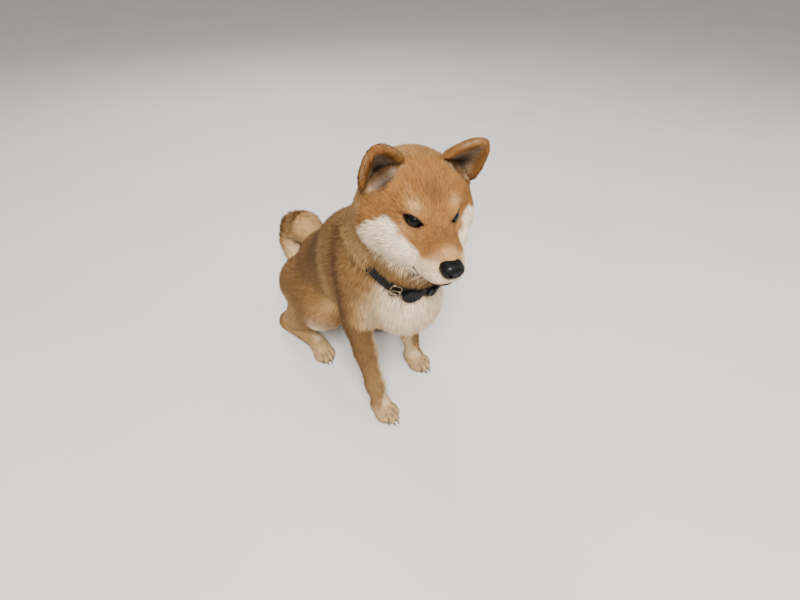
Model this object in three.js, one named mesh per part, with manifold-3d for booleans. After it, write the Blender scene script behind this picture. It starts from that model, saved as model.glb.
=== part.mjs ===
// A shiba inu that sits and looks to its right, life size, in millimetres.
// The dog faces -Y, its left side is +X and +Z is up. The floor is z = 0.
import * as THREE from "three";
import { mergeVertices } from "three/addons/utils/BufferGeometryUtils.js";
import Module from "manifold-3d";

const wasm = await Module();
wasm.setup();
const { Manifold, Mesh: SolidMesh } = wasm;

// Driving sizes
const GAP = 0.4; // kept between two solids that meet
const SIDES = { left: 1, right: -1 };

// Where the joints of the skeleton lie, for the left side. The right side mirrors x.
const RUMP = new THREE.Vector3(0, 268, 84);
const LOIN = new THREE.Vector3(0, 205, 172);
const RIBS = new THREE.Vector3(0, 98, 248);
const WITHERS = new THREE.Vector3(0, 54, 306);
const NECK_BASE = new THREE.Vector3(-2, 16, 322);
const NECK_TOP = new THREE.Vector3(8, 4, 374);
const HEAD_AT = new THREE.Vector3(-3, -71, 407); // midway between the eyes
const HEAD_YAW = -19; // degrees; negative turns the face to the dog's right
const HEAD_PITCH = 4; // positive lowers the nose
const HEAD_ROLL = 4.5; // positive lowers the left ear
const CARPUS_HEIGHT = 62;
const FOREPAW = {
  left: new THREE.Vector3(63, 22, 0),
  right: new THREE.Vector3(-63, -30, 0),
};
const ELBOW = {
  left: new THREE.Vector3(70, 50, 186),
  right: new THREE.Vector3(-62, 36, 184),
};
const HINDPAW = new THREE.Vector3(72, 168, 0);
const HOCK = new THREE.Vector3(86, 280, 26);
const KNEE = new THREE.Vector3(66, 148, 136);
const HIP = new THREE.Vector3(40, 258, 128);
const SHANK_END = new THREE.Vector3(76, 238, 62);

const rad = THREE.MathUtils.degToRad;
const vec = (x, y, z) => new THREE.Vector3(x, y, z);
const mirrored = (v, side) => vec(v.x * SIDES[side], v.y, v.z);

// Shape fields: negative inside, and about the distance to the surface outside.

// An ellipsoid, turned about X by tilt degrees and about Z by turn degrees.
function ball(centre, radii, tilt = 0, turn = 0) {
  const euler = new THREE.Euler(rad(tilt), 0, rad(turn), "ZYX");
  const back = new THREE.Matrix4().makeRotationFromEuler(euler).setPosition(centre).invert();
  const [a, b, c] = radii;
  const p = vec(0, 0, 0);
  return (q) => {
    p.copy(q).applyMatrix4(back);
    const k0 = Math.hypot(p.x / a, p.y / b, p.z / c);
    const k1 = Math.hypot(p.x / (a * a), p.y / (b * b), p.z / (c * c));
    return k1 < 1e-9 ? -Math.min(a, b, c) : (k0 * (k0 - 1)) / k1;
  };
}

// A limb of round section from a to b, ra thick at a and rb at b.
function limb(a, b, ra, rb) {
  const along = b.clone().sub(a);
  const size = along.lengthSq();
  const p = vec(0, 0, 0);
  return (q) => {
    const h = THREE.MathUtils.clamp(p.copy(q).sub(a).dot(along) / size, 0, 1);
    return p.addScaledVector(along, -h).length() - THREE.MathUtils.lerp(ra, rb, h);
  };
}

// Several fields flowing into each other over about the given distance.
function blend(distance, ...fields) {
  return (q) => {
    let sum = 0;
    for (const f of fields) sum += Math.exp(-f(q) / distance);
    return -distance * Math.log(sum);
  };
}

// The same field made of two mirrored copies and what lies on the middle plane.
const pair = (make) => [make(1), make(-1)];

function normalOf(field, p) {
  const step = 0.5;
  const at = (x, y, z) => field(vec(p.x + x, p.y + y, p.z + z));
  return vec(
    at(step, 0, 0) - at(-step, 0, 0),
    at(0, step, 0) - at(0, -step, 0),
    at(0, 0, step) - at(0, 0, -step),
  ).normalize();
}

// How far along a ray from inside the field its surface lies.
function reachOf(field, origin, direction, furthest, grow = 0) {
  const steps = 48;
  const p = vec(0, 0, 0);
  const value = (r) => field(p.copy(origin).addScaledVector(direction, r)) - grow;
  let inside = 0;
  let outside = furthest;
  for (let i = 1; i <= steps; i++) {
    const r = (furthest * i) / steps;
    if (value(r) > 0) {
      outside = r;
      break;
    }
    inside = r;
  }
  for (let i = 0; i < 22; i++) {
    const middle = (inside + outside) / 2;
    if (value(middle) > 0) outside = middle;
    else inside = middle;
  }
  return outside;
}

// A closed mesh round a spine that lies inside the field. Rays leave the spine sideways in rings and
// fan out round its two ends. "across" is the direction of each ring's first ray.
function wrap(points, field, options) {
  const { around, along, caps, furthest, soften = 0, across = vec(1, 0, 0), grow = 0 } = options;
  const spine = new THREE.CatmullRomCurve3(points, false, "centripetal");
  const rings = [];
  const quarter = Math.PI / 2;
  for (let i = 0; i < caps; i++) rings.push([0, -quarter + (quarter * i) / caps]);
  for (let i = 0; i <= along; i++) rings.push([i / along, 0]);
  for (let i = 1; i <= caps; i++) rings.push([1, (quarter * i) / caps]);
  const rows = [];
  for (const [t, lean] of rings) {
    const origin = spine.getPoint(t);
    const tangent = spine.getTangent(t);
    const side = across.clone().addScaledVector(tangent, -across.dot(tangent)).normalize();
    const up = tangent.clone().cross(side);
    const count = Math.abs(lean) > quarter - 1e-6 ? 1 : around;
    const row = [];
    rows.push(row);
    for (let j = 0; j < count; j++) {
      const a = (2 * Math.PI * j) / around;
      const direction = side
        .clone()
        .multiplyScalar(Math.cos(a))
        .addScaledVector(up, Math.sin(a))
        .multiplyScalar(Math.cos(lean))
        .addScaledVector(tangent, Math.sin(lean));
      row.push({ origin, direction, reach: reachOf(field, origin, direction, furthest, grow) });
    }
  }
  for (let pass = 0; pass < soften; pass++) softenRows(rows, around);
  const position = [];
  for (const { origin, direction, reach } of rows.flat()) {
    position.push(...origin.clone().addScaledVector(direction, reach).toArray());
  }
  return closedRings(position, around, rings.length);
}

// Draws each ray's length halfway to the mean of its four neighbours.
function softenRows(rows, around) {
  const at = (i, j) => {
    const row = rows[THREE.MathUtils.clamp(i, 0, rows.length - 1)];
    return row[row.length === 1 ? 0 : (j + around) % around].reach;
  };
  const next = rows.map((row, i) =>
    row.map((ray, j) => {
      if (row.length === 1) return ray.reach;
      const mean = (at(i - 1, j) + at(i + 1, j) + at(i, j - 1) + at(i, j + 1)) / 4;
      return (ray.reach + mean) / 2;
    }),
  );
  rows.forEach((row, i) => row.forEach((ray, j) => (ray.reach = next[i][j])));
}

// A mesh through rings of points, the first and the last of which are single points.
function closedRings(position, around, count) {
  const index = [];
  const first = (ring) => (ring === 0 ? 0 : 1 + (ring - 1) * around);
  for (let ring = 0; ring < count - 1; ring++) {
    for (let j = 0; j < around; j++) {
      const k = (j + 1) % around;
      const a = first(ring);
      const b = first(ring + 1);
      if (ring === 0) index.push(a, b + k, b + j);
      else if (ring === count - 2) index.push(a + j, a + k, b);
      else index.push(a + j, a + k, b + k, a + j, b + k, b + j);
    }
  }
  const made = new THREE.BufferGeometry();
  made.setAttribute("position", new THREE.Float32BufferAttribute(position, 3));
  made.setIndex(index);
  return made;
}

// Moves a point straight to where the field has the given value.
function settle(field, p, level) {
  const q = p.clone();
  for (let i = 0; i < 4; i++) q.addScaledVector(normalOf(field, q), level - field(q));
  return q;
}

// A flat, tapered lock. It is rooted below the surface, bends along it and lifts towards its tip.
function lock(field, root, lie, { length, wide, thick, sunk, lift, sway }) {
  const steps = [0, 0.3, 0.65];
  const shape = [0.75, 1, 0.72];
  const direction = lie.clone();
  const path = [settle(field, root, -sunk)];
  const levels = [0.35, 0.72, 1].map((t) => -sunk + (lift + sunk) * t);
  for (let i = 0; i < 3; i++) {
    const p = path[i].clone();
    const normal = normalOf(field, p);
    direction.addScaledVector(normal, -direction.dot(normal)).normalize();
    const side = direction.clone().cross(normal);
    direction.addScaledVector(side, sway).normalize();
    const ahead = [0.3, 0.35, 0.35][i] * length;
    path.push(settle(field, p.addScaledVector(direction, ahead), levels[i]));
  }
  const position = [];
  const start = path[0].clone().lerp(path[1], -0.08);
  position.push(...start.toArray());
  steps.forEach((t, i) => {
    const along = path[i + 1].clone().sub(path[i]).normalize();
    const normal = normalOf(field, path[i]);
    const side = along.clone().cross(normal).normalize();
    const up = side.clone().cross(along).normalize();
    const half = (wide / 2) * shape[i];
    const deep = (thick / 2) * shape[i];
    for (const [u, v] of [[1, 0], [0.1, 1], [-1, 0], [-0.1, -1]]) {
      const corner = path[i].clone().addScaledVector(side, u * half).addScaledVector(up, v * deep);
      position.push(...corner.toArray());
    }
  });
  position.push(...path[3].toArray());
  return solid(closedRings(position, 4, 5));
}

// The same seeded draws on every run, between -1 and 1
function draws(seed) {
  let state = seed;
  return () => {
    state = (state * 1664525 + 1013904223) % 4294967296;
    return (2 * state) / 4294967296 - 1;
  };
}
const smooth = (x, from, to) => THREE.MathUtils.smoothstep((x - from) / (to - from), 0, 1);

// A geometry as a solid that can be joined and cut.
function solid(geometry, matrix = new THREE.Matrix4()) {
  const bare = geometry.clone().applyMatrix4(matrix);
  bare.deleteAttribute("normal");
  bare.deleteAttribute("uv");
  const merged = mergeVertices(bare, 1e-4);
  const make = (triVerts) =>
    new Manifold(
      new SolidMesh({
        numProp: 3,
        vertProperties: new Float32Array(merged.attributes.position.array),
        triVerts,
      }),
    );
  const triVerts = new Uint32Array(merged.index.array);
  const made = make(triVerts);
  if (made.volume() > 0) return made;
  for (let i = 0; i < triVerts.length; i += 3) {
    [triVerts[i + 1], triVerts[i + 2]] = [triVerts[i + 2], triVerts[i + 1]];
  }
  return make(triVerts);
}

const join = (...solids) => Manifold.union(solids.flat());
const cut = (body, ...tools) => tools.flat().reduce((rest, tool) => rest.subtract(tool), body);

// A solid's largest closed surface. It drops loose scraps and fills sealed hollows.
function largest(body) {
  return body.decompose().reduce((a, b) => (b.volume() > a.volume() ? b : a));
}

// Everything on the far side of a plane through a point, as a big block.
function beyond(point, normal, size = 1200) {
  const turn = new THREE.Quaternion().setFromUnitVectors(vec(0, 0, 1), normal.clone().normalize());
  const middle = point.clone().addScaledVector(normal.clone().normalize(), size / 2);
  const place = new THREE.Matrix4().compose(middle, turn, vec(1, 1, 1));
  return solid(new THREE.BoxGeometry(size, size, size), place);
}

const FLOOR = beyond(vec(0, 0, 0), vec(0, 0, -1));

// Trunk: rump, haunches, loin, ribs, shoulders, chest and neck in one skin
const shoulderTop = (elbow) => vec(elbow.x * 0.72, elbow.y + 2, elbow.z + 78);
const trunkField = blend(
  10,
  ball(RUMP, [70, 64, 78]),
  ball(LOIN, [66, 78, 82], 45),
  ball(RIBS, [74, 94, 104], 42),
  ball(vec(0, -17, 248), [57, 55, 66], -8),
  ball(vec(0, 30, 204), [50, 58, 40], -10),
  ball(vec(0, 150, 148), [56, 74, 54]),
  ball(vec(0, 158, 208), [66, 66, 84], 45),
  limb(WITHERS, NECK_TOP, 48, 56),
  limb(NECK_BASE, NECK_TOP, 60, 58),
  limb(vec(0, 56, 314), vec(14, 12, 398), 48, 54),
  ball(vec(-2, -34, 322), [52, 40, 54]),
  ...["left", "right"].map((side) => {
    const elbow = ELBOW[side].clone().add(vec(0, 4, 14));
    return limb(shoulderTop(elbow), elbow, 36, 24);
  }),
  ...["left", "right"].flatMap((side) => [
    limb(mirrored(HIP, side), mirrored(KNEE, side), 52, 32),
    limb(mirrored(KNEE, side), mirrored(SHANK_END, side), 30, 28),
  ]),
);
const trunkSpine = [
  vec(0, 258, 96),
  vec(0, 205, 168),
  vec(0, 125, 232),
  vec(0, 62, 272),
  vec(0, 18, 325),
  vec(7, 4, 372),
];
// Where the coat is long its dense core lies deeper and locks reach out to the coat's outline.
const RUFF_DEPTH = 6.5;
const ruff = (q) =>
  smooth(q.y, 26, -8) * smooth(q.z, 165, 195) * smooth(q.z, 306, 286) * smooth(Math.abs(q.x), 74, 52);
const breeches = (q) => smooth(q.y, 245, 285) * smooth(q.z, 22, 50) * smooth(q.z, 150, 110);
const trunkCore = (q) => trunkField(q) + RUFF_DEPTH * ruff(q) + 5 * breeches(q);
const trunkWrap = (grow) =>
  solid(wrap(trunkSpine, trunkCore, { around: 27, along: 18, caps: 4, furthest: 230, soften: 1, grow }));

function chestLocks() {
  const draw = draws(7);
  const made = [];
  const rows = [
    { z: 283, spread: 44, count: 4 },
    { z: 254, spread: 56, count: 5 },
    { z: 226, spread: 50, count: 4 },
    { z: 202, spread: 40, count: 3 },
  ];
  rows.forEach(({ z, spread, count }) => {
    for (let i = 0; i < count; i++) {
      const a = rad(-4 + spread * ((2 * i) / (count - 1) - 1) + 5 * draw());
      const origin = vec(0, 14, z + 4 * draw());
      const out = vec(Math.sin(a), -Math.cos(a), 0);
      const root = origin.clone().addScaledVector(out, reachOf(trunkCore, origin, out, 140));
      const shape = {
        length: 52 + 5 * draw(),
        wide: 32 + 3 * draw(),
        thick: 10,
        sunk: 5,
        lift: RUFF_DEPTH,
        sway: 0.12 * draw() - 0.08 * Math.sin(a),
      };
      made.push(lock(trunkCore, root, vec(0.25 * Math.sin(a), 0, -1), shape));
    }
  });
  return made;
}

function breechLocks(s) {
  const draw = draws(19 + s);
  const made = [];
  for (const [z, y] of [[128, 268], [98, 270], [70, 264]]) {
    const origin = vec(s * 20, y - 30, z);
    const out = vec(s * (0.75 + 0.1 * draw()), 1, 0).normalize();
    const root = origin.clone().addScaledVector(out, reachOf(trunkCore, origin, out, 140));
    const shape = { length: 38, wide: 26, thick: 9, sunk: 5, lift: 5, sway: 0.12 * draw() };
    made.push(lock(trunkCore, root, vec(0, 0.3, -1), shape));
  }
  return made;
}

// Head: its own frame has the nose towards -Y and its origin between the eyes.
const headPlace = new THREE.Matrix4().compose(
  HEAD_AT,
  new THREE.Quaternion().setFromEuler(
    new THREE.Euler(rad(HEAD_PITCH), rad(HEAD_ROLL), rad(HEAD_YAW), "ZXY"),
  ),
  vec(1, 1, 1),
);
const headField = blend(
  5,
  ball(vec(0, 62, 5), [74, 60, 51]),
  ball(vec(0, 88, 14), [56, 42, 42]),
  ball(vec(0, 26, 13), [42, 30, 26]),
  ...pair((s) => ball(vec(s * 46, 58, -25), [40, 46, 44], 0, s * 12)),
  ...pair((s) => ball(vec(s * 35, 17, -36), [27, 31, 29])),
  ...pair((s) => ball(vec(s * 22.5, 3, 6), [17.5, 10, 15], 0, s * 46)),
  ...pair((s) => ball(vec(s * 14, -22, -35), [18, 30, 21])),
  ...pair((s) => ball(vec(s * 20, -10, -45), [17, 24, 19])),
  limb(vec(0, 0, -27), vec(0, -46, -34), 30, 18),
  limb(vec(0, 4, -9), vec(0, -58, -21), 15, 8.5),
  ...pair((s) => ball(vec(s * 12, -42, -41), [13, 24, 13])),
  limb(vec(0, 4, -56), vec(0, -48, -54.5), 20, 10),
  ball(vec(0, 52, -48), [50, 46, 30]),
);
const headSpine = [vec(0, 62, -4), vec(0, 26, -16), vec(0, -14, -30), vec(0, -40, -35)];
const headWrap = (grow) =>
  solid(
    wrap(headSpine, headField, { around: 32, along: 16, caps: 6, furthest: 130, grow }),
    headPlace,
  );

// A flat outline, drawn as (y, z) in the head's frame, carried through the whole width of the head
function acrossHead(outline, width = 90) {
  const shape = new THREE.Shape(outline.map(([y, z]) => new THREE.Vector2(y, z)));
  const sheet = new THREE.ExtrudeGeometry(shape, { depth: 2 * width, bevelEnabled: false, steps: 1 });
  sheet.translate(0, 0, -width);
  const turn = new THREE.Matrix4().makeBasis(vec(0, 1, 0), vec(0, 0, 1), vec(1, 0, 0));
  return solid(sheet, headPlace.clone().multiply(turn));
}
const mouthLine = (drop) => [
  [-120, -50 - drop],
  [-68, -50.5 - drop],
  [-56, -53.5 - drop],
  [-40, -54.5 - drop],
  [-23, -52 - drop],
  [-16 - drop, -55 - drop],
  [-8 - drop, -120],
  [-120, -120],
];

// Ears: a scoop of crescent section that narrows to a rounded tip. Its foot runs from beside the
// crown down the side of the head.
const EAR_INNER = new THREE.Vector3(27, 50, 53);
const EAR_OUTER = new THREE.Vector3(78, 53, 20);
const EAR_TIP = new THREE.Vector3(73, 29, 85);
const EAR_SUNK = 14;
const EAR_DEPTH = 20;
const EAR_WALL = 6;
function ear(s) {
  const middle = EAR_INNER.clone().lerp(EAR_OUTER, 0.5);
  const outward = EAR_OUTER.clone().sub(EAR_INNER);
  const half = outward.length() / 2;
  outward.normalize();
  const rise = EAR_TIP.clone().sub(middle);
  const apex = rise.dot(outward);
  rise.addScaledVector(outward, -apex);
  const height = rise.length();
  rise.normalize();
  const back = rise.clone().cross(outward);
  const levels = 7;
  const arc = 6;
  const position = [apex * 0.2, EAR_DEPTH * 0.4, -EAR_SUNK];
  for (let i = 0; i < levels; i++) {
    const z = -EAR_SUNK + ((height + EAR_SUNK) * i) / levels;
    const up = THREE.MathUtils.clamp(z / height, 0, 1);
    const wide = half * (1 - up ** 1.7) ** 0.75 + 2;
    const depth = EAR_DEPTH * (1 - 0.65 * up) * Math.min(1, wide / 14);
    const middleX = apex * up;
    const lean = 5 * up * (1 - up);
    const wall = Math.min(EAR_WALL, wide * 0.5);
    for (let j = 0; j <= arc; j++) {
      const a = (Math.PI * j) / arc;
      position.push(middleX + wide * Math.cos(a), depth * Math.sin(a) + lean, z);
    }
    for (let j = arc; j >= 0; j--) {
      const a = (Math.PI * j) / arc;
      const hollow = Math.max(depth - wall, 0.3) * Math.sin(a);
      position.push(middleX + (wide - wall * 0.8) * Math.cos(a), hollow + lean - 1.2, z);
    }
  }
  position.push(apex, 0.5, height + 1);
  const mirror = new THREE.Matrix4().makeScale(s, 1, 1);
  const axes = new THREE.Matrix4().makeBasis(outward, back, rise).setPosition(middle);
  const place = headPlace.clone().multiply(mirror).multiply(axes);
  return solid(closedRings(position, 2 * arc + 2, levels + 2), place);
}

// Eyes. Each looks forwards and outwards through an almond opening with a lid round it.
const EYE_RADIUS = 11.4;
const EYE_CENTRE = new THREE.Vector3(31, -4, 4.6);
const EYE_CORNER = new THREE.Vector3(41, 8, 6.5);
const EYE_DEEP = 9; // from the lids' plane back to the middle of the eyeball
const ALMOND = [
  [-13, -2.5],
  [-6, 4.6],
  [3, 6.6],
  [13, 2.5],
  [5, -4.2],
  [-5, -5.6],
];
const eyeAxes = (s) => {
  const along = EYE_CORNER.clone().sub(EYE_CENTRE).normalize();
  const out = vec(along.y, -along.x, 0.05).normalize();
  const up = out.clone().cross(along).normalize();
  if (up.z < 0) up.negate();
  const flip = (v) => vec(v.x * s, v.y, v.z);
  return { centre: flip(EYE_CENTRE), along: flip(along), up: flip(up), out: flip(out) };
};
const eyePoint = (s, u, v, w) => {
  const { centre, along, up, out } = eyeAxes(s);
  return centre.clone().addScaledVector(along, u).addScaledVector(up, v).addScaledVector(out, w);
};
const eyeBall = (s, grow = 0) =>
  solid(
    new THREE.SphereGeometry(EYE_RADIUS + grow, 11, 7),
    headPlace.clone().multiply(new THREE.Matrix4().setPosition(eyePoint(s, 0, 0, -EYE_DEEP))),
  );
const eyeSlot = (s) => {
  const loop = new THREE.CatmullRomCurve3(ALMOND.map(([u, v]) => vec(u, v, 0)), true);
  const rim = loop.getPoints(16).slice(0, -1);
  const position = [];
  const ring = (w, wide) => {
    for (const p of rim) position.push(...eyePoint(s, p.x * wide, p.y * wide, w).toArray());
  };
  position.push(...eyePoint(s, 0, 0, -EYE_DEEP).toArray());
  ring(-EYE_DEEP, 0.7);
  ring(0, 1);
  ring(24, 1.5);
  position.push(...eyePoint(s, 0, 0, 24).toArray());
  return solid(closedRings(position, 16, 5), headPlace);
};
const lid = (s) => {
  const points = ALMOND.map(([u, v]) => eyePoint(s, u, v, 0.8 - 4 * (u / 13) ** 2));
  const loop = new THREE.CatmullRomCurve3(points, true);
  return solid(new THREE.TubeGeometry(loop, 16, 1.7, 5, true), headPlace);
};

// The nose and what else is placed in the head's frame
const inHead = (centre, radii, tilt = 0, turn = 0) =>
  headPlace
    .clone()
    .multiply(
      new THREE.Matrix4().compose(
        centre,
        new THREE.Quaternion().setFromEuler(new THREE.Euler(rad(tilt), 0, rad(turn), "ZYX")),
        vec(...radii),
      ),
    );
const round = (matrix, around = 16, down = 12) => solid(new THREE.SphereGeometry(1, around, down), matrix);
const nosePad = (grow) => round(inHead(vec(0, -64, -28), [15 + grow, 12 + grow, 12 + grow], 12), 14, 9);
const nostril = (s) => round(inHead(vec(s * 7.5, -74, -27), [3.2, 4.5, 2.6], 0, s * 25), 8, 6);

// Collar: a strap lies in the coat round the neck. A ring of metal, an oval tag and the strap's
// free end sit on its front.
const COLLAR_MIDDLE = new THREE.Vector3(-1, 8, 315);
const COLLAR_NORMAL = new THREE.Vector3(0.17, -0.32, 1).normalize();
const STRAP_WIDE = 16;
const STRAP_THICK = 4.5;
const STRAP_SUNK = 4;
const collarAt = (degrees) => {
  const out = vec(Math.cos(rad(degrees)), Math.sin(rad(degrees)), 0);
  out.addScaledVector(COLLAR_NORMAL, -out.dot(COLLAR_NORMAL)).normalize();
  const along = COLLAR_NORMAL.clone().cross(out).normalize();
  const reach = reachOf(trunkField, COLLAR_MIDDLE, out, 130) - STRAP_SUNK;
  return { out, along, reach };
};
// A point by its angle round the collar, its height above the strap's inner face and its offset upwards
const collarPoint = (degrees, height, up) => {
  const { out, reach } = collarAt(degrees);
  return COLLAR_MIDDLE.clone()
    .addScaledVector(out, reach + height)
    .addScaledVector(COLLAR_NORMAL, up);
};
// A strap's section: a flat bar with rounded edges, as (height, up)
const strapSection = (base, thick, wide, grow) => {
  const half = wide / 2 + grow;
  const low = base - grow;
  const high = base + thick + grow;
  const edge = 1.2;
  return [
    [low, -half + edge],
    [low, half - edge],
    [low + edge, half],
    [high - edge, half],
    [high, half - edge],
    [high, -half + edge],
    [high - edge, -half],
    [low + edge, -half],
  ];
};
function strapRing(grow) {
  const around = 28;
  const section = strapSection(0, STRAP_THICK, STRAP_WIDE, grow);
  const position = [];
  const index = [];
  for (let i = 0; i < around; i++) {
    for (const [height, up] of section) {
      position.push(...collarPoint((360 * i) / around, height, up).toArray());
    }
  }
  const n = section.length;
  for (let i = 0; i < around; i++) {
    for (let j = 0; j < n; j++) {
      const a = i * n + j;
      const b = i * n + ((j + 1) % n);
      const c = ((i + 1) % around) * n + j;
      const d = ((i + 1) % around) * n + ((j + 1) % n);
      index.push(a, b, d, a, d, c);
    }
  }
  const made = new THREE.BufferGeometry();
  made.setAttribute("position", new THREE.Float32BufferAttribute(position, 3));
  made.setIndex(index);
  return solid(made);
}
// A length of strap that lies on the ring from one angle to another and narrows at its far end
function strapLength(from, to, base, thick, wide, steps, taper) {
  const position = collarPoint(from, base + thick / 2, 0).toArray();
  for (let i = 0; i <= steps; i++) {
    const t = i / steps;
    const narrow = taper && i > steps - 3 ? [0.9, 0.72, 0.36][i - steps + 2] : 1;
    for (const [height, up] of strapSection(base, thick, wide, 0)) {
      position.push(...collarPoint(from + (to - from) * t, height, up * narrow).toArray());
    }
  }
  position.push(...collarPoint(to, base + thick / 2, 0).toArray());
  return solid(closedRings(position, 8, steps + 3));
}
const collarFrame = (degrees, height) => {
  const { out, along } = collarAt(degrees);
  return new THREE.Matrix4()
    .makeBasis(along, COLLAR_NORMAL, out)
    .setPosition(collarPoint(degrees, height, 0));
};
const BUCKLE_ANGLE = -127;
const TAG_ANGLE = -108;
const END_ANGLES = [-92, -66];
const WIRE = 1.7;
const buckle = (grow) => {
  const half = [9, 12];
  const corners = [
    [-1, -0.7],
    [-1, 0.7],
    [-0.7, 1],
    [0.7, 1],
    [1, 0.7],
    [1, -0.7],
    [0.7, -1],
    [-0.7, -1],
  ];
  const loop = new THREE.CatmullRomCurve3(
    corners.map(([x, y]) => vec(x * half[0], y * half[1], 0)),
    true,
    "catmullrom",
    0.3,
  );
  const ring = new THREE.TubeGeometry(loop, 16, WIRE + grow, 5, true);
  const prong = new THREE.CapsuleGeometry(1.3 + grow, 17, 2, 6).rotateZ(Math.PI / 2);
  const place = collarFrame(BUCKLE_ANGLE, STRAP_THICK + 2 * GAP + WIRE);
  return join(solid(ring, place), solid(prong, place));
};
const tag = (grow) => {
  const oval = new THREE.Shape();
  oval.absellipse(0, 0, 14.5 + grow, 11 + grow, 0, 2 * Math.PI);
  const body = new THREE.ExtrudeGeometry(oval, {
    depth: 3 + 2 * grow,
    bevelEnabled: true,
    bevelSize: 2.2,
    bevelThickness: 1.6,
    bevelSegments: 1,
    curveSegments: 9,
  });
  body.translate(0, 0, 1.6 - grow);
  body.translate(0, -3, 0);
  return solid(body, collarFrame(TAG_ANGLE, STRAP_THICK + GAP));
};
const strapEnd = () => join(
  strapLength(END_ANGLES[0], END_ANGLES[1], STRAP_THICK + GAP, 2.6, 14, 7, true),
  strapLength(-86, -80, STRAP_THICK + GAP, 4.4, 18, 2, false),
);

// Limbs
function foreleg(side, grow) {
  const paw = FOREPAW[side];
  const elbow = ELBOW[side];
  const carpus = vec(paw.x * 1.02, paw.y + 22, CARPUS_HEIGHT);
  const middle = elbow.clone().lerp(carpus, 0.45);
  const pastern = paw.clone().add(vec(0, 10, 24));
  const field = blend(
    4,
    limb(elbow, middle, 25, 19),
    limb(middle, carpus, 19, 16),
    limb(carpus, pastern, 16, 15),
  );
  const spine = [elbow, middle, carpus, pastern];
  return solid(wrap(spine, field, { around: 12, along: 9, caps: 2, furthest: 70, grow }));
}

function hindLeg(side, grow) {
  const hock = mirrored(HOCK, side);
  const paw = mirrored(HINDPAW, side);
  const heel = hock.clone().add(vec(0, 0, -3));
  const toeRoot = paw.clone().add(vec(0, 26, 20));
  const top = mirrored(SHANK_END, side);
  const length = (a, b, ra, rb, along) => {
    const options = { around: 12, along, caps: 2, furthest: 60, grow };
    return solid(wrap([a, a.clone().lerp(b, 0.5), b], limb(a, b, ra, rb), options));
  };
  return join(length(top, hock, 27, 20, 4), length(heel, toeRoot, 20, 16, 6));
}

const TOES = [
  { x: -14, y: -13, turn: 12 },
  { x: -5, y: -21, turn: 4 },
  { x: 5, y: -21, turn: -4 },
  { x: 14, y: -13, turn: -12 },
];
function paw(at, turn, grow) {
  const place = new THREE.Matrix4().makeRotationZ(rad(turn)).setPosition(at);
  const egg = (centre, radii, tilt, spin, around, down) => {
    const local = new THREE.Matrix4().compose(
      centre,
      new THREE.Quaternion().setFromEuler(new THREE.Euler(rad(tilt), 0, rad(spin))),
      vec(...radii.map((r) => r + grow)),
    );
    return solid(new THREE.SphereGeometry(1, around, down), place.clone().multiply(local));
  };
  const parts = [egg(vec(0, 6, 14), [20, 26, 19], 0, 0, 11, 7)];
  for (const { x, y, turn: spin } of TOES) {
    parts.push(egg(vec(x, y, 9.5), [7.4, 15, 10.5], -16, spin, 7, 5));
    const out = rad(spin);
    const claw = new THREE.ConeGeometry(2.2 + grow, 8 + grow, 4);
    const aim = vec(-Math.sin(out), -Math.cos(out), 0);
    const local = new THREE.Matrix4().compose(
      vec(x, y, 9.5).addScaledVector(aim, 13).add(vec(0, 0, -2.5)),
      new THREE.Quaternion().setFromUnitVectors(vec(0, 1, 0), aim.add(vec(0, 0, -0.35)).normalize()),
      vec(1, 1, 1),
    );
    parts.push(solid(claw, place.clone().multiply(local)));
  }
  return cut(join(parts), FLOOR);
}

// Tail: a curl that stands behind the rump
const TAIL_PATH = [
  vec(0, 308, 106),
  vec(2, 348, 116),
  vec(7, 374, 148),
  vec(12, 366, 184),
  vec(17, 332, 199),
  vec(17, 305, 186),
];
const TAIL_RADII = [18, 25, 29, 30, 27, 15];
const TAIL_CORE = 0.7; // the dense core's share of the tail's radius
const tailPart = (share) =>
  blend(
    5,
    ...TAIL_PATH.slice(1).map((p, i) =>
      limb(TAIL_PATH[i], p, TAIL_RADII[i] * share, TAIL_RADII[i + 1] * share),
    ),
  );
const tailField = tailPart(1);
const tailCore = tailPart(TAIL_CORE);
function tailLocks() {
  const path = new THREE.CatmullRomCurve3(TAIL_PATH, false, "centripetal");
  const draw = draws(11);
  const made = [];
  const rings = 5;
  for (let i = 0; i < rings; i++) {
    const t = 0.12 + (0.82 * i) / (rings - 1);
    const origin = path.getPoint(t);
    const lie = path.getTangent(t);
    const side = vec(1, 0, 0).addScaledVector(lie, -lie.x).normalize();
    const up = lie.clone().cross(side);
    const radius = TAIL_RADII[Math.min(5, Math.round(t * 5))];
    const count = [4, 5, 5, 4, 3][i];
    for (let j = 0; j < count; j++) {
      const a = (2 * Math.PI * (j + 0.5 * (i % 2) + 0.15 * draw())) / count;
      const out = side.clone().multiplyScalar(Math.cos(a)).addScaledVector(up, Math.sin(a));
      const root = origin.clone().addScaledVector(out, reachOf(tailCore, origin, out, 60));
      const shape = {
        length: 54 + 4 * draw(),
        wide: 30,
        thick: 10,
        sunk: 5,
        lift: radius * (1 - TAIL_CORE),
        sway: 0.12 * draw(),
      };
      made.push(lock(tailCore, root, lie.clone().addScaledVector(out, 0.1), shape));
    }
  }
  return made;
}

// Colours
const FINISH = {
  coat: new THREE.MeshStandardMaterial({ color: 0xb27a45, roughness: 0.9, metalness: 0 }),
  cream: new THREE.MeshStandardMaterial({ color: 0xd9c4a3, roughness: 0.9, metalness: 0 }),
  black: new THREE.MeshStandardMaterial({ color: 0x14110f, roughness: 0.3, metalness: 0 }),
  leather: new THREE.MeshStandardMaterial({ color: 0x1c1a1a, roughness: 0.55, metalness: 0 }),
  metal: new THREE.MeshStandardMaterial({ color: 0xb9b2a3, roughness: 0.3, metalness: 1 }),
};

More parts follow.
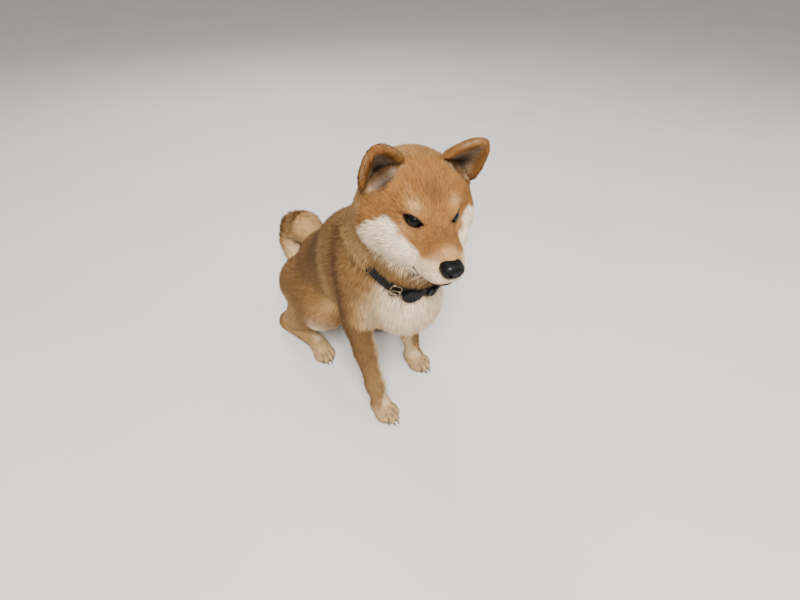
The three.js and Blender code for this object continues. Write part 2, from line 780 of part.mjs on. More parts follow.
const dog = new THREE.Group();
function addNode(name, body, material, parent = dog) {
  const { vertProperties, numProp, triVerts } = largest(body).getMesh();
  const position = [];
  for (let i = 0; i < vertProperties.length; i += numProp) {
    position.push(vertProperties[i], vertProperties[i + 1], vertProperties[i + 2]);
  }
  const geometry = new THREE.BufferGeometry();
  geometry.setAttribute("position", new THREE.Float32BufferAttribute(position, 3));
  geometry.setIndex([...triVerts]);
  geometry.computeVertexNormals();
  const mesh = new THREE.Mesh(geometry, material);
  mesh.name = name;
  parent.add(mesh);
  return mesh;
}

const headBody = headWrap(0);
const headGrown = headWrap(GAP);
const trunkCoreBody = trunkWrap(0);
const trunkGrown = trunkWrap(GAP);
const legsGrown = [foreleg("left", GAP), foreleg("right", GAP)];
const hindGrown = [hindLeg("left", GAP), hindLeg("right", GAP)];
const collarGrown = strapRing(GAP);
const furniture = join(buckle(GAP), tag(GAP));
const trunkLocks = cut(join(chestLocks(), breechLocks(1), breechLocks(-1)), legsGrown, hindGrown);
const trunkBody = join(trunkCoreBody, trunkLocks);
const jawRegion = acrossHead(mouthLine(GAP / 2));
const skullRegion = acrossHead(mouthLine(-GAP / 2));
const headSolid = cut(
  join(cut(headBody, eyeSlot(1), eyeSlot(-1)), lid(1), lid(-1)),
  eyeBall(1, GAP),
  eyeBall(-1, GAP),
  nosePad(GAP),
);
addNode("head", cut(headSolid, skullRegion), FINISH.coat);
addNode("lower_jaw", headSolid.intersect(jawRegion), FINISH.cream);
addNode("nose", cut(nosePad(0), nostril(1), nostril(-1)), FINISH.black);
const haunchAt = (s, grow) =>
  round(
    new THREE.Matrix4().compose(
      vec(s * 92, 208, 108),
      new THREE.Quaternion().setFromEuler(new THREE.Euler(rad(-18), 0, rad(s * -6), "ZYX")),
      vec(58 + grow, 112 + grow, 80 + grow),
    ),
    20,
    14,
  );
const torso = cut(
  trunkBody,
  beyond(COLLAR_MIDDLE, COLLAR_NORMAL),
  FLOOR,
  collarGrown,
  furniture,
  strapEnd(),
);
addNode("torso", cut(torso, haunchAt(1, GAP), haunchAt(-1, GAP)), FINISH.coat);
const neckFoot = COLLAR_MIDDLE.clone().addScaledVector(COLLAR_NORMAL, GAP);
addNode(
  "neck",
  cut(
    trunkBody,
    beyond(neckFoot, COLLAR_NORMAL.clone().negate()),
    headGrown,
    collarGrown,
    furniture,
    strapEnd(),
  ),
  FINISH.coat,
);
addNode("collar_strap", strapRing(0), FINISH.leather);
addNode("collar_buckle", cut(buckle(0), collarGrown), FINISH.metal);
addNode("collar_tag", cut(tag(0), collarGrown), FINISH.leather);
addNode("collar_end", cut(strapEnd(), tag(GAP), collarGrown), FINISH.leather);
for (const [side, s] of Object.entries(SIDES)) {
  const pawAt = mirrored(HINDPAW, side);
  addNode(`eye_${side}`, eyeBall(s), FINISH.black);
  addNode(`ear_${side}`, cut(ear(s), headGrown), FINISH.coat);
  addNode(`haunch_${side}`, torso.intersect(haunchAt(s, 0)), FINISH.coat);
  addNode(
    `foreleg_${side}`,
    cut(foreleg(side, 0), trunkGrown, paw(FOREPAW[side], 0, GAP)),
    FINISH.coat,
  );
  addNode(`forepaw_${side}`, paw(FOREPAW[side], 0, 0), FINISH.cream);
  addNode(
    `hindleg_${side}`,
    cut(hindLeg(side, 0), trunkGrown, paw(pawAt, s * 8, GAP), FLOOR),
    FINISH.coat,
  );
  addNode(`hindpaw_${side}`, paw(pawAt, s * 8, 0), FINISH.cream);
}
const tailBody = cut(
  join(
    solid(wrap(TAIL_PATH, tailCore, { around: 10, along: 16, caps: 2, furthest: 60 })),
    tailLocks(),
  ),
  trunkGrown,
);
const tailCuts = [
  { at: vec(12, 371, 156), normal: vec(0.1, 0.25, 0.97) },
  { at: vec(14, 340, 190), normal: vec(0.05, -1, 0.12) },
];
const [lowCut, highCut] = tailCuts.map(({ at, normal }) => ({ at, normal: normal.normalize() }));
const above = (c, shift) => beyond(c.at.clone().addScaledVector(c.normal, shift), c.normal);
const below = (c, shift) =>
  beyond(c.at.clone().addScaledVector(c.normal, shift), c.normal.clone().negate());
addNode("tail_base", cut(tailBody, above(lowCut, 0), above(highCut, 0)), FINISH.coat);
addNode("tail_middle", cut(tailBody, below(lowCut, GAP), above(highCut, 0)), FINISH.coat);
addNode("tail_tip", cut(tailBody, below(highCut, GAP)), FINISH.cream);

// The origin is the middle of the footprint's box, on the floor.
const box = new THREE.Box3().setFromObject(dog);
const middle = box.getCenter(vec(0, 0, 0));
dog.position.set(-middle.x, -middle.y, -box.min.z);
const part = new THREE.Group();
part.add(dog);

export default part;
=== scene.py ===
"""A shiba inu that sits and looks to its right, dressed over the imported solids."""
import math

import bmesh
import bpy
import numpy as np
from bpy.props import FloatProperty, FloatVectorProperty, IntProperty, PointerProperty
from mathutils import Euler, Matrix, Vector
from mathutils.kdtree import KDTree


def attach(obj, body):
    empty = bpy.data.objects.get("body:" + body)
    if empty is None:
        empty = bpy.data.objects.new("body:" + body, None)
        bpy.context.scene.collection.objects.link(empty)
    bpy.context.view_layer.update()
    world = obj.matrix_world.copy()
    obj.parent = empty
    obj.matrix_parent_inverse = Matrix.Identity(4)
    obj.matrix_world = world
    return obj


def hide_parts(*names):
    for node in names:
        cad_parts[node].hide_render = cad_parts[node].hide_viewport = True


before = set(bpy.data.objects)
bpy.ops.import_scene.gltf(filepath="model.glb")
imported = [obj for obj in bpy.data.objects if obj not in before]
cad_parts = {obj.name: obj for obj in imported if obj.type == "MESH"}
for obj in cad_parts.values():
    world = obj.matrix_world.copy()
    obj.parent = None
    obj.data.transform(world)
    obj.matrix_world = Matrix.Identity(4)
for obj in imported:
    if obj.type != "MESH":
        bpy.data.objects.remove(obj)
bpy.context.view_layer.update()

bl_info = {
    "name": "Sitting shiba inu",
    "version": (1, 0, 0),
    "blender": (4, 5, 0),
    "location": "View3D > Sidebar > Shiba",
    "description": "Skin, coat, eyes, nose, claws, whiskers and collar of a sitting dog",
    "category": "Object",
}

MM = 0.001
SHIFT = np.array([0.0, -131.13, 0.0])  # from the drawing's millimetres to the row's frame
HEAD_AT = np.array([-3.0, -71.0, 407.0])
HEAD_TURN = np.array(
    Matrix.Rotation(math.radians(-19), 3, "Z")
    @ Matrix.Rotation(math.radians(4), 3, "X")
    @ Matrix.Rotation(math.radians(4.5), 3, "Y")
)

# In the head's frame: x to the dog's left, y back, z up, from midway between the eyes
EYE_CENTRE = np.array([31.0, -3.6, 4.6])
EYE_CORNER = np.array([41.2, 7.2, 7.4])
EYE_RADIUS = 11.4
EYE_DEEP = 9.0
EYE_HALF = 14.6
NOSE_AT = np.array([0.0, -64.0, -28.0])
NOSE_SIZE = np.array([15.0, 12.0, 12.0])
MOUTH_LINE = ((-73, -49), (-66, -52.5), (-56, -56), (-45, -57), (-37, -53), (-31, -45))
EAR_INNER = np.array([27.0, 50.0, 53.0])
EAR_OUTER = np.array([78.0, 53.0, 20.0])
EAR_TIP = np.array([73.0, 29.0, 85.0])

# In the drawing's frame
COLLAR_MIDDLE = np.array([-1.0, 8.0, 315.0])
COLLAR_NORMAL = np.array([0.17, -0.32, 1.0]) / np.linalg.norm([0.17, -0.32, 1.0])
STRAP_WIDE, STRAP_THICK, STRAP_SUNK = 16.0, 4.5, 4.0
BUCKLE_ANGLE, TAG_ANGLE = -127.0, -108.0
ELBOW = {1: np.array([70.0, 50.0, 186.0]), -1: np.array([-62.0, 36.0, 184.0])}
FOREPAW = {1: np.array([63.0, 22.0, 0.0]), -1: np.array([-63.0, -30.0, 0.0])}
HIP = np.array([40.0, 258.0, 128.0])
KNEE = np.array([66.0, 148.0, 136.0])
SHANK_END = np.array([76.0, 238.0, 62.0])
HOCK = np.array([86.0, 280.0, 26.0])
HINDPAW = np.array([72.0, 168.0, 0.0])
PAWS = [(FOREPAW[1], 0.0), (FOREPAW[-1], 0.0), (HINDPAW, 8.0), (HINDPAW * (-1, 1, 1), -8.0)]
TOES = ((-14.8, -13.0, 12.0), (-5.2, -21.0, 4.0), (5.2, -21.0, -4.0), (14.8, -13.0, -12.0))
TAIL_PATH = np.array([
    (0, 308, 106), (2, 348, 116), (7, 374, 148), (12, 366, 184), (17, 332, 199), (17, 305, 186),
], float)
TAIL_RADII = (18, 25, 29, 30, 27, 15)
TAIL_CURL = np.array([10.0, 332.0, 160.0])

GROUPS = {
    "head": ("head",),
    "jaw": ("lower_jaw",),
    "ear": ("ear_left", "ear_right"),
    "neck": ("neck",),
    "torso": ("torso",),
    "haunch": ("haunch_left", "haunch_right"),
    "foreleg": ("foreleg_left", "foreleg_right"),
    "forepaw": ("forepaw_left", "forepaw_right"),
    "hindleg": ("hindleg_left", "hindleg_right"),
    "hindpaw": ("hindpaw_left", "hindpaw_right"),
    "tail": ("tail_base", "tail_middle", "tail_tip"),
}
FLESH = tuple(name for names in GROUPS.values() for name in names)

# For each group: depth of the coat, length and width of its tufts, in millimetres
COAT = {
    "head": (4.2, 9.0, 1.0),
    "jaw": (2.0, 6.0, 0.9),
    "ear": (2.0, 6.0, 0.9),
    "neck": (11.0, 19.0, 1.6),
    "torso": (11.0, 18.0, 1.6),
    "haunch": (9.0, 17.0, 1.6),
    "foreleg": (3.8, 9.0, 1.15),
    "forepaw": (1.3, 4.5, 0.9),
    "hindleg": (3.8, 9.0, 1.15),
    "hindpaw": (1.3, 4.5, 0.9),
    "tail": (12.0, 27.0, 1.8),
}


def row(points):
    """Millimetres of the drawing, as metres in the row's frame."""
    return (np.asarray(points, float) + SHIFT) * MM


def drawing(points):
    """Metres in the row's frame, as millimetres of the drawing."""
    return np.asarray(points, float) / MM - SHIFT


def on_head(points):
    """Millimetres of the drawing, as millimetres from the middle of the eyes."""
    return (np.asarray(points, float) - HEAD_AT) @ HEAD_TURN


def from_head(points):
    return np.asarray(points, float) @ HEAD_TURN.T + HEAD_AT


def unit(v):
    v = np.asarray(v, float)
    return v / np.maximum(np.linalg.norm(v, axis=-1, keepdims=True), 1e-9)


def ramp(v, a, b):
    t = np.clip((v - a) / (b - a), 0, 1)
    return t * t * (3 - 2 * t)


def spot(p, at, size):
    return np.exp(-(((p - np.array(at, float)) / np.array(size, float)) ** 2).sum(-1))


def bell(v, width):
    return np.exp(-((v / width) ** 2))


def waver(p, size, seed=0.0):
    """A smooth random value from -1 to 1 that changes over the given size."""
    q = np.asarray(p, float) / size + seed * 7.31
    cell = np.floor(q)
    f = q - cell
    f = f * f * (3 - 2 * f)
    out = np.zeros(len(q))
    for corner in np.ndindex(2, 2, 2):
        c = np.array(corner)
        h = np.sin((cell + c) @ np.array([127.1, 311.7, 74.7])) * 43758.5453
        out += np.where(c, f, 1 - f).prod(1) * (h - np.floor(h))
    return out * 2 - 1


def mix(a, b, t):
    t = np.reshape(np.clip(t, 0, 1), (-1, 1))
    return a * (1 - t) + b * t


def laid(base, *coats):
    """A colour with others laid over it in turn, each by its share."""
    for colour, share in coats:
        base = mix(base, colour, share)
    return base


def places(mesh):
    co = np.empty(len(mesh.vertices) * 3, np.float32)
    mesh.vertices.foreach_get("co", co)
    return co.reshape(-1, 3).astype(float)


def normals(mesh):
    no = np.empty(len(mesh.vertices) * 3, np.float32)
    mesh.vertices.foreach_get("normal", no)
    return no.reshape(-1, 3).astype(float)


def move_to(mesh, co):
    mesh.vertices.foreach_set("co", np.asarray(co, np.float32).ravel())
    mesh.update()


def made(name, shape):
    """A bmesh as a mesh of the given name."""
    mesh = bpy.data.meshes.new(name)
    shape.to_mesh(mesh)
    shape.free()
    return mesh


def absorb(shape, mesh):
    """Takes a mesh up into a bmesh."""
    shape.from_mesh(mesh)
    bpy.data.meshes.remove(mesh)


def off_line(q, line):
    """Distance of flat places from a line through the given points."""
    line = np.array(line, float)
    best = np.full(len(q), 1e3)
    for a, b in zip(line, line[1:]):
        t = np.clip(((q - a) @ (b - a)) / ((b - a) @ (b - a)), 0, 1)
        best = np.minimum(best, np.linalg.norm(q - a - t[:, None] * (b - a), axis=1))
    return best


# The body's outline as shape fields: about how far places of the drawing lie outside it
def ball(p, at, radii, tilt=0.0, turn=0.0):
    spin = Matrix.Rotation(math.radians(turn), 3, "Z") @ Matrix.Rotation(math.radians(tilt), 3, "X")
    q = (p - np.array(at, float)) @ np.array(spin)
    size = np.array(radii, float)
    far = np.linalg.norm(q / size, axis=1)
    return far * (far - 1) / np.maximum(np.linalg.norm(q / size**2, axis=1), 1e-6)


def limb(p, a, b, ra, rb):
    a, b = np.array(a, float), np.array(b, float)
    h = np.clip((p - a) @ (b - a) / ((b - a) @ (b - a)), 0, 1)
    return np.linalg.norm(p - a - h[:, None] * (b - a), axis=1) - (ra + (rb - ra) * h)


def flow(distance, *fields):
    """Several fields that run into each other over about the given distance."""
    return -distance * np.log(sum(np.exp(np.clip(-f / distance, -300, 300)) for f in fields))


def both(v):
    return np.array(v, float), np.array(v, float) * (-1, 1, 1)


def trunk_field(p):
    parts = [
        ball(p, (0, 268, 84), (70, 64, 78)),
        ball(p, (0, 205, 172), (66, 78, 82), 45),
        ball(p, (0, 98, 248), (74, 94, 104), 42),
        ball(p, (0, -17, 248), (57, 55, 66), -8),
        ball(p, (0, 30, 204), (50, 58, 40), -10),
        ball(p, (0, 150, 148), (56, 74, 54)),
        ball(p, (0, 158, 208), (66, 66, 84), 45),
        limb(p, (0, 54, 306), (8, 4, 374), 48, 56),
        limb(p, (-2, 16, 322), (8, 4, 374), 60, 58),
        limb(p, (0, 56, 314), (14, 12, 398), 48, 54),
        ball(p, (-2, -34, 322), (52, 40, 54)),
    ]
    for elbow in ELBOW.values():
        end = elbow + (0, 4, 14)
        parts.append(limb(p, (end[0] * 0.72, end[1] + 2, end[2] + 78), end, 36, 24))
    for hip, knee, end in zip(both(HIP), both(KNEE), both(SHANK_END)):
        parts += [limb(p, hip, knee, 52, 32), limb(p, knee, end, 30, 28)]
    return flow(10, *parts)


def head_field(h):
    parts = [
        ball(h, (0, 62, 5), (74, 60, 51)),
        ball(h, (0, 88, 14), (56, 42, 42)),
        ball(h, (0, 26, 13), (42, 30, 26)),
        limb(h, (0, 0, -27), (0, -46, -34), 30, 18),
        limb(h, (0, 4, -9), (0, -58, -21), 15, 8.5),
        limb(h, (0, 4, -56), (0, -48, -54.5), 20, 10),
        ball(h, (0, 52, -48), (50, 46, 30)),
    ]
    for s in (1, -1):
        parts += [
            ball(h, (s * 46, 58, -25), (40, 46, 44), 0, s * 12),
            ball(h, (s * 35, 17, -36), (27, 31, 29)),
            ball(h, (s * 22.5, 3, 6), (17.5, 10, 15), 0, s * 46),
            ball(h, (s * 14, -22, -35), (18, 30, 21)),
            ball(h, (s * 20, -10, -45), (17, 24, 19)),
            ball(h, (s * 12, -42, -41), (13, 24, 13)),
        ]
    return flow(5, *parts)


def nose_field(h):
    return ball(h, NOSE_AT, NOSE_SIZE, 12)


def toe_fields(p, at, turn):
    """A paw's palm and its four toes, one field each."""
    spin = np.array(Matrix.Rotation(math.radians(turn), 3, "Z"))
    q = (p - at) @ spin
    palm = ball(q, (0, 7, 13.5), (19, 24, 18))
    return palm, [ball(q, (x, y, 9.3), (6.6, 15, 10.3), -16, spin_toe) for x, y, spin_toe in TOES]


def body_field(p):
    h = on_head(p)
    parts = [trunk_field(p), flow(1, head_field(h), nose_field(h))]
    for s in (1, -1):
        paw, elbow = FOREPAW[s], ELBOW[s]
        carpus = np.array((paw[0] * 1.02, paw[1] + 22, 62))
        middle = elbow + (carpus - elbow) * 0.45
        pastern = paw + (0, 10, 24)
        upper, lower = limb(p, elbow, middle, 25, 19), limb(p, middle, carpus, 19, 16)
        parts.append(flow(4, upper, lower, limb(p, carpus, pastern, 16, 15)))
        flip = np.array((s, 1, 1))
        parts.append(limb(p, SHANK_END * flip, HOCK * flip, 27, 20))
        parts.append(limb(p, (HOCK - (0, 0, 3)) * flip, (HINDPAW + (0, 26, 20)) * flip, 20, 16))
    for at, turn in PAWS:
        palm, toes = toe_fields(p, at, turn)
        parts.append(flow(1.6, palm, flow(0.5, *toes)))
    path = [limb(p, a, b, ra, rb) for a, b, ra, rb in zip(TAIL_PATH, TAIL_PATH[1:], TAIL_RADII, TAIL_RADII[1:])]
    parts.append(flow(5, *path))
    return flow(3, *parts)


class Spread:
    """Evens a value out along the edges of a mesh."""

    def __init__(self, mesh):
        ends = np.empty(len(mesh.edges) * 2, np.int32)
        mesh.edges.foreach_get("vertices", ends)
        ends = ends.reshape(-1, 2)
        self.a = np.concatenate([ends[:, 0], ends[:, 1]])
        self.b = np.concatenate([ends[:, 1], ends[:, 0]])
        self.count = len(mesh.vertices)
        self.share = 1.0 / np.maximum(np.bincount(self.a, minlength=self.count), 1)

    def __call__(self, value, times=1, by=0.6):
        value = np.asarray(value, float)
        flat = value.reshape(self.count, -1).copy()
        by = np.reshape(by, (-1, 1)) if np.ndim(by) else by
        for _ in range(times):
            mean = np.stack(
                [np.bincount(self.a, c[self.b], self.count) for c in flat.T], 1
            ) * self.share[:, None]
            flat += (mean - flat) * by
        return flat.reshape(value.shape)


def add_piece(name, mesh, stands_for=()):
    piece = bpy.data.objects.new(name, mesh)
    bpy.context.scene.collection.objects.link(piece)
    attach(piece, "root")
    if stands_for:
        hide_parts(*stands_for)
    return piece


def only_active(piece):
    for other in bpy.context.selected_objects:
        other.select_set(False)
    piece.select_set(True)
    bpy.context.view_layer.objects.active = piece


def eye_axes(side):
    """An eye's place, and the ways along its lids, up and out, in the head's frame."""
    along = unit(EYE_CORNER - EYE_CENTRE)
    out = unit((along[1], -along[0], 0.05))
    up = unit(np.cross(out, along))
    up = up if up[2] > 0 else -up
    flip = np.array((side, 1, 1))
    return EYE_CENTRE * flip, along * flip, up * flip, out * flip


def on_eye(h, side):
    """Points of the head's frame as (along the lids, up, out) from the middle of an eye."""
    centre, along, up, out = eye_axes(side)
    d = h - centre
    return np.stack([d @ along, d @ up, d @ out], -1)


def by_eyes(h, reach):
    """For each eye: its side, the places as it sees them, and which of them lie near it."""
    for s in (1, -1):
        e = on_eye(h, s)
        yield s, e, (h[:, 0] * s > 0) & (np.abs(e[:, 2]) < reach)


def from_eye(e, side):
    centre, along, up, out = eye_axes(side)
    e = np.asarray(e, float)
    return centre + e[..., :1] * along + e[..., 1:2] * up + e[..., 2:3] * out


def lid_edge(u, upper):
    """Height of the upper or lower lid's edge over the line between the corners of the eye."""
    s = np.clip(1 - (u / EYE_HALF) ** 2, 0, 1)
    return 8.2 * s**0.8 if upper else -5.2 * s**0.85


def lid_out(u):
    """How far the lids' edge stands out, which falls away towards the corners."""
    return 0.8 - 4.6 * np.clip(np.abs(u) / EYE_HALF, 0, 1.2) ** 2


def almond(e):
    """How far a point by the eye lies outside the opening between the lids."""
    tall = np.maximum(e[:, 1] - lid_edge(e[:, 0], True), lid_edge(e[:, 0], False) - e[:, 1])
    beside = np.hypot(np.abs(e[:, 0]) - EYE_HALF, e[:, 1])
    return np.where(np.abs(e[:, 0]) < EYE_HALF, tall, beside)


def off_mouth(h):
    """Distance from the line of the mouth, seen from the side of the head."""
    side_on = (h[:, 1] < 0) & (np.abs(h[:, 0]) < 40)
    return np.where(side_on, off_line(h[:, 1:], MOUTH_LINE), 99.0)


def collar_ray(degrees):
    """The way out from the middle of the collar, and how far the coat's outline lies along it."""
    a = np.radians(np.asarray(degrees, float)).ravel()
    out = np.stack([np.cos(a), np.sin(a), 0 * a], 1)
    out = unit(out - (out @ COLLAR_NORMAL)[:, None] * COLLAR_NORMAL)
    low, high = np.zeros(len(a)), np.full(len(a), 130.0)
    for _ in range(22):
        middle = (low + high) / 2
        outside = trunk_field(COLLAR_MIDDLE + out * middle[:, None]) > 0
        low, high = np.where(outside, low, middle), np.where(outside, middle, high)
    return out, high


def collar_point(degrees, height, up):
    """A place by its angle round the collar, its height over the strap's inner face and offset upwards."""
    out, reach = collar_ray(degrees)
    far = (reach - STRAP_SUNK + np.ravel(height))[:, None]
    return COLLAR_MIDDLE + out * far + COLLAR_NORMAL * np.ravel(up)[:, None]


def strap_shows(p):
    """1 where the strap lies bare on the front of the neck, 0 where the coat covers it."""
    angle = np.degrees(np.arctan2(p[:, 1] - COLLAR_MIDDLE[1], p[:, 0] - COLLAR_MIDDLE[0]))
    apart = np.abs((angle + 96 + 180) % 360 - 180)
    return ramp(apart, 84, 56)


def tone(r, g, b):
    """A colour as a screen shows it, made linear."""
    c = np.array([r, g, b], float) / 255
    return tuple(np.where(c < 0.04045, c / 12.92, ((c + 0.055) / 1.055) ** 2.4))


def colour_property(name, description, r, g, b):
    return FloatVectorProperty(
        name=name, description=description, subtype="COLOR", size=3, min=0, max=1, default=tone(r, g, b),
    )


class SHIBA_PG_colours(bpy.types.PropertyGroup):
    red: colour_property("Red", "Face, crown and ears", 135, 88, 42)
    brown: colour_property("Brown", "Back, sides, neck and legs", 134, 100, 60)
    # deep also paints shade behind the shoulder, on the throat, beside the muzzle and in the fold before the
    # ears
    deep: colour_property("Deep", "Darker bands and shadings of the coat", 82, 55, 31)
    # tan also paints light in the band over the ribs
    tan: colour_property("Tan", "Paler bands over the ribs and thighs", 178, 140, 90)
    pale: colour_property("Pale", "Spots over the eyes and the tail's upper side", 190, 148, 96)
    cream: colour_property("Cream", "Breast, belly, feet and insides of the legs", 208, 178, 136)
    white: colour_property("White", "Cheeks, muzzle and middle of the breast", 240, 216, 182)
    sable: colour_property("Sable", "Dark tips over the back and tail", 62, 45, 30)
    # dark also paints shade in the ear canals and the gaps between the toes
    dark: colour_property("Dark skin and shade", "Rims of the eyes, lips, soles and ear canals", 20, 16, 14)
    ear: colour_property("Ear hair", "Hair inside the ears", 150, 126, 102)
    iris: colour_property("Iris", "Ring round the pupil", 11, 7, 4)
    nose: colour_property("Nose", "Leather of the nose", 6, 6, 6)
    claw: colour_property("Claws", "Horn of the claws", 44, 39, 35)
    leather: colour_property("Leather", "Strap and tag of the collar", 9, 9, 9)
    metal: colour_property("Metal", "Ring and prong of the collar", 120, 106, 84)


class SHIBA_PG_sizes(bpy.types.PropertyGroup):
    coat_length: FloatProperty(
        name="Coat length", description="Length of the tufts against the drawn one",
        default=1.0, min=0.5, max=1.5,
    )
    coat_density: FloatProperty(
        name="Coat density", description="Number of tufts against the drawn one",
        default=1.0, min=0.2, max=1.15,
    )
    voxel: FloatProperty(
        name="Skin grain", description="Size of the faces that the skin starts from",
        default=0.0032, min=0.003, max=0.006, subtype="DISTANCE", unit="LENGTH",
    )
    fluff: FloatProperty(
        name="Fluff", description="How far the coat stands proud of the solids on the trunk",
        default=0.0014, min=0, max=0.004, subtype="DISTANCE", unit="LENGTH",
    )
    whiskers: IntProperty(name="Whiskers", description="Whiskers on each side", default=10, min=0, max=20)
    whisker_length: FloatProperty(
        name="Whisker length", description="Length of the longest whisker",
        default=0.028, min=0.01, max=0.05, subtype="DISTANCE", unit="LENGTH",
    )


def shade(name):
    return np.array(getattr(bpy.context.scene.shiba_colours, name), float)


def ear_frame():
    outward = unit(EAR_OUTER - EAR_INNER)
    rise = EAR_TIP - (EAR_INNER + EAR_OUTER) / 2
    rise = unit(rise - outward * (rise @ outward))
    return outward, -np.cross(rise, outward), rise


def ear_place(h):
    """Points of the head's frame as (outwards, forwards, up) from the middle of an ear's foot."""
    d = np.stack([np.abs(h[:, 0]), h[:, 1], h[:, 2]], 1) - (EAR_INNER + EAR_OUTER) / 2
    return np.stack([d @ axis for axis in ear_frame()], 1)


def in_ear(h, n):
    """How far a place faces out of the scoop of an ear."""
    facing = n @ HEAD_TURN
    facing[:, 0] *= np.sign(h[:, 0])
    return facing @ ear_frame()[1]


def ear_bowl(e):
    """Where an ear's scoop runs on over the head in front of it, and the fold that ends it."""
    u, v, w = e.T
    edge = 13.5 * np.clip(1 - ((u - 2) / 28) ** 2, 0, 1)
    near = ramp(w, 16, 10) * ramp(v, -22, -14) * ramp(np.abs(u - 1), 29, 25)
    return near * ramp(edge - v, -1.2, 1.2), near * bell(v - edge - 3.2, 3)


def ear_rim(e):
    """Distance from the edges of an ear, seen from its front."""
    half = np.linalg.norm(EAR_OUTER - EAR_INNER) / 2
    tip = np.array([(EAR_TIP - (EAR_INNER + EAR_OUTER) / 2) @ axis for axis in ear_frame()])[[0, 2]]
    return off_line(e[:, [0, 2]], ((-half, 0), tip, (half, 0)))


def toe_gap(p):
    """1 in the gaps between the toes."""
    gap = np.zeros(len(p))
    for at, turn in PAWS:
        palm, toes = toe_fields(p, at, turn)
        near = np.sort(np.stack(toes), 0)
        here = (near[0] < 2.5) & (np.linalg.norm(p - at - (0, -8, 10), axis=1) < 40)
        gap = np.maximum(gap, bell(near[1] - near[0], 1.3) * here * ramp(palm, -1.5, 1.5))
    return gap


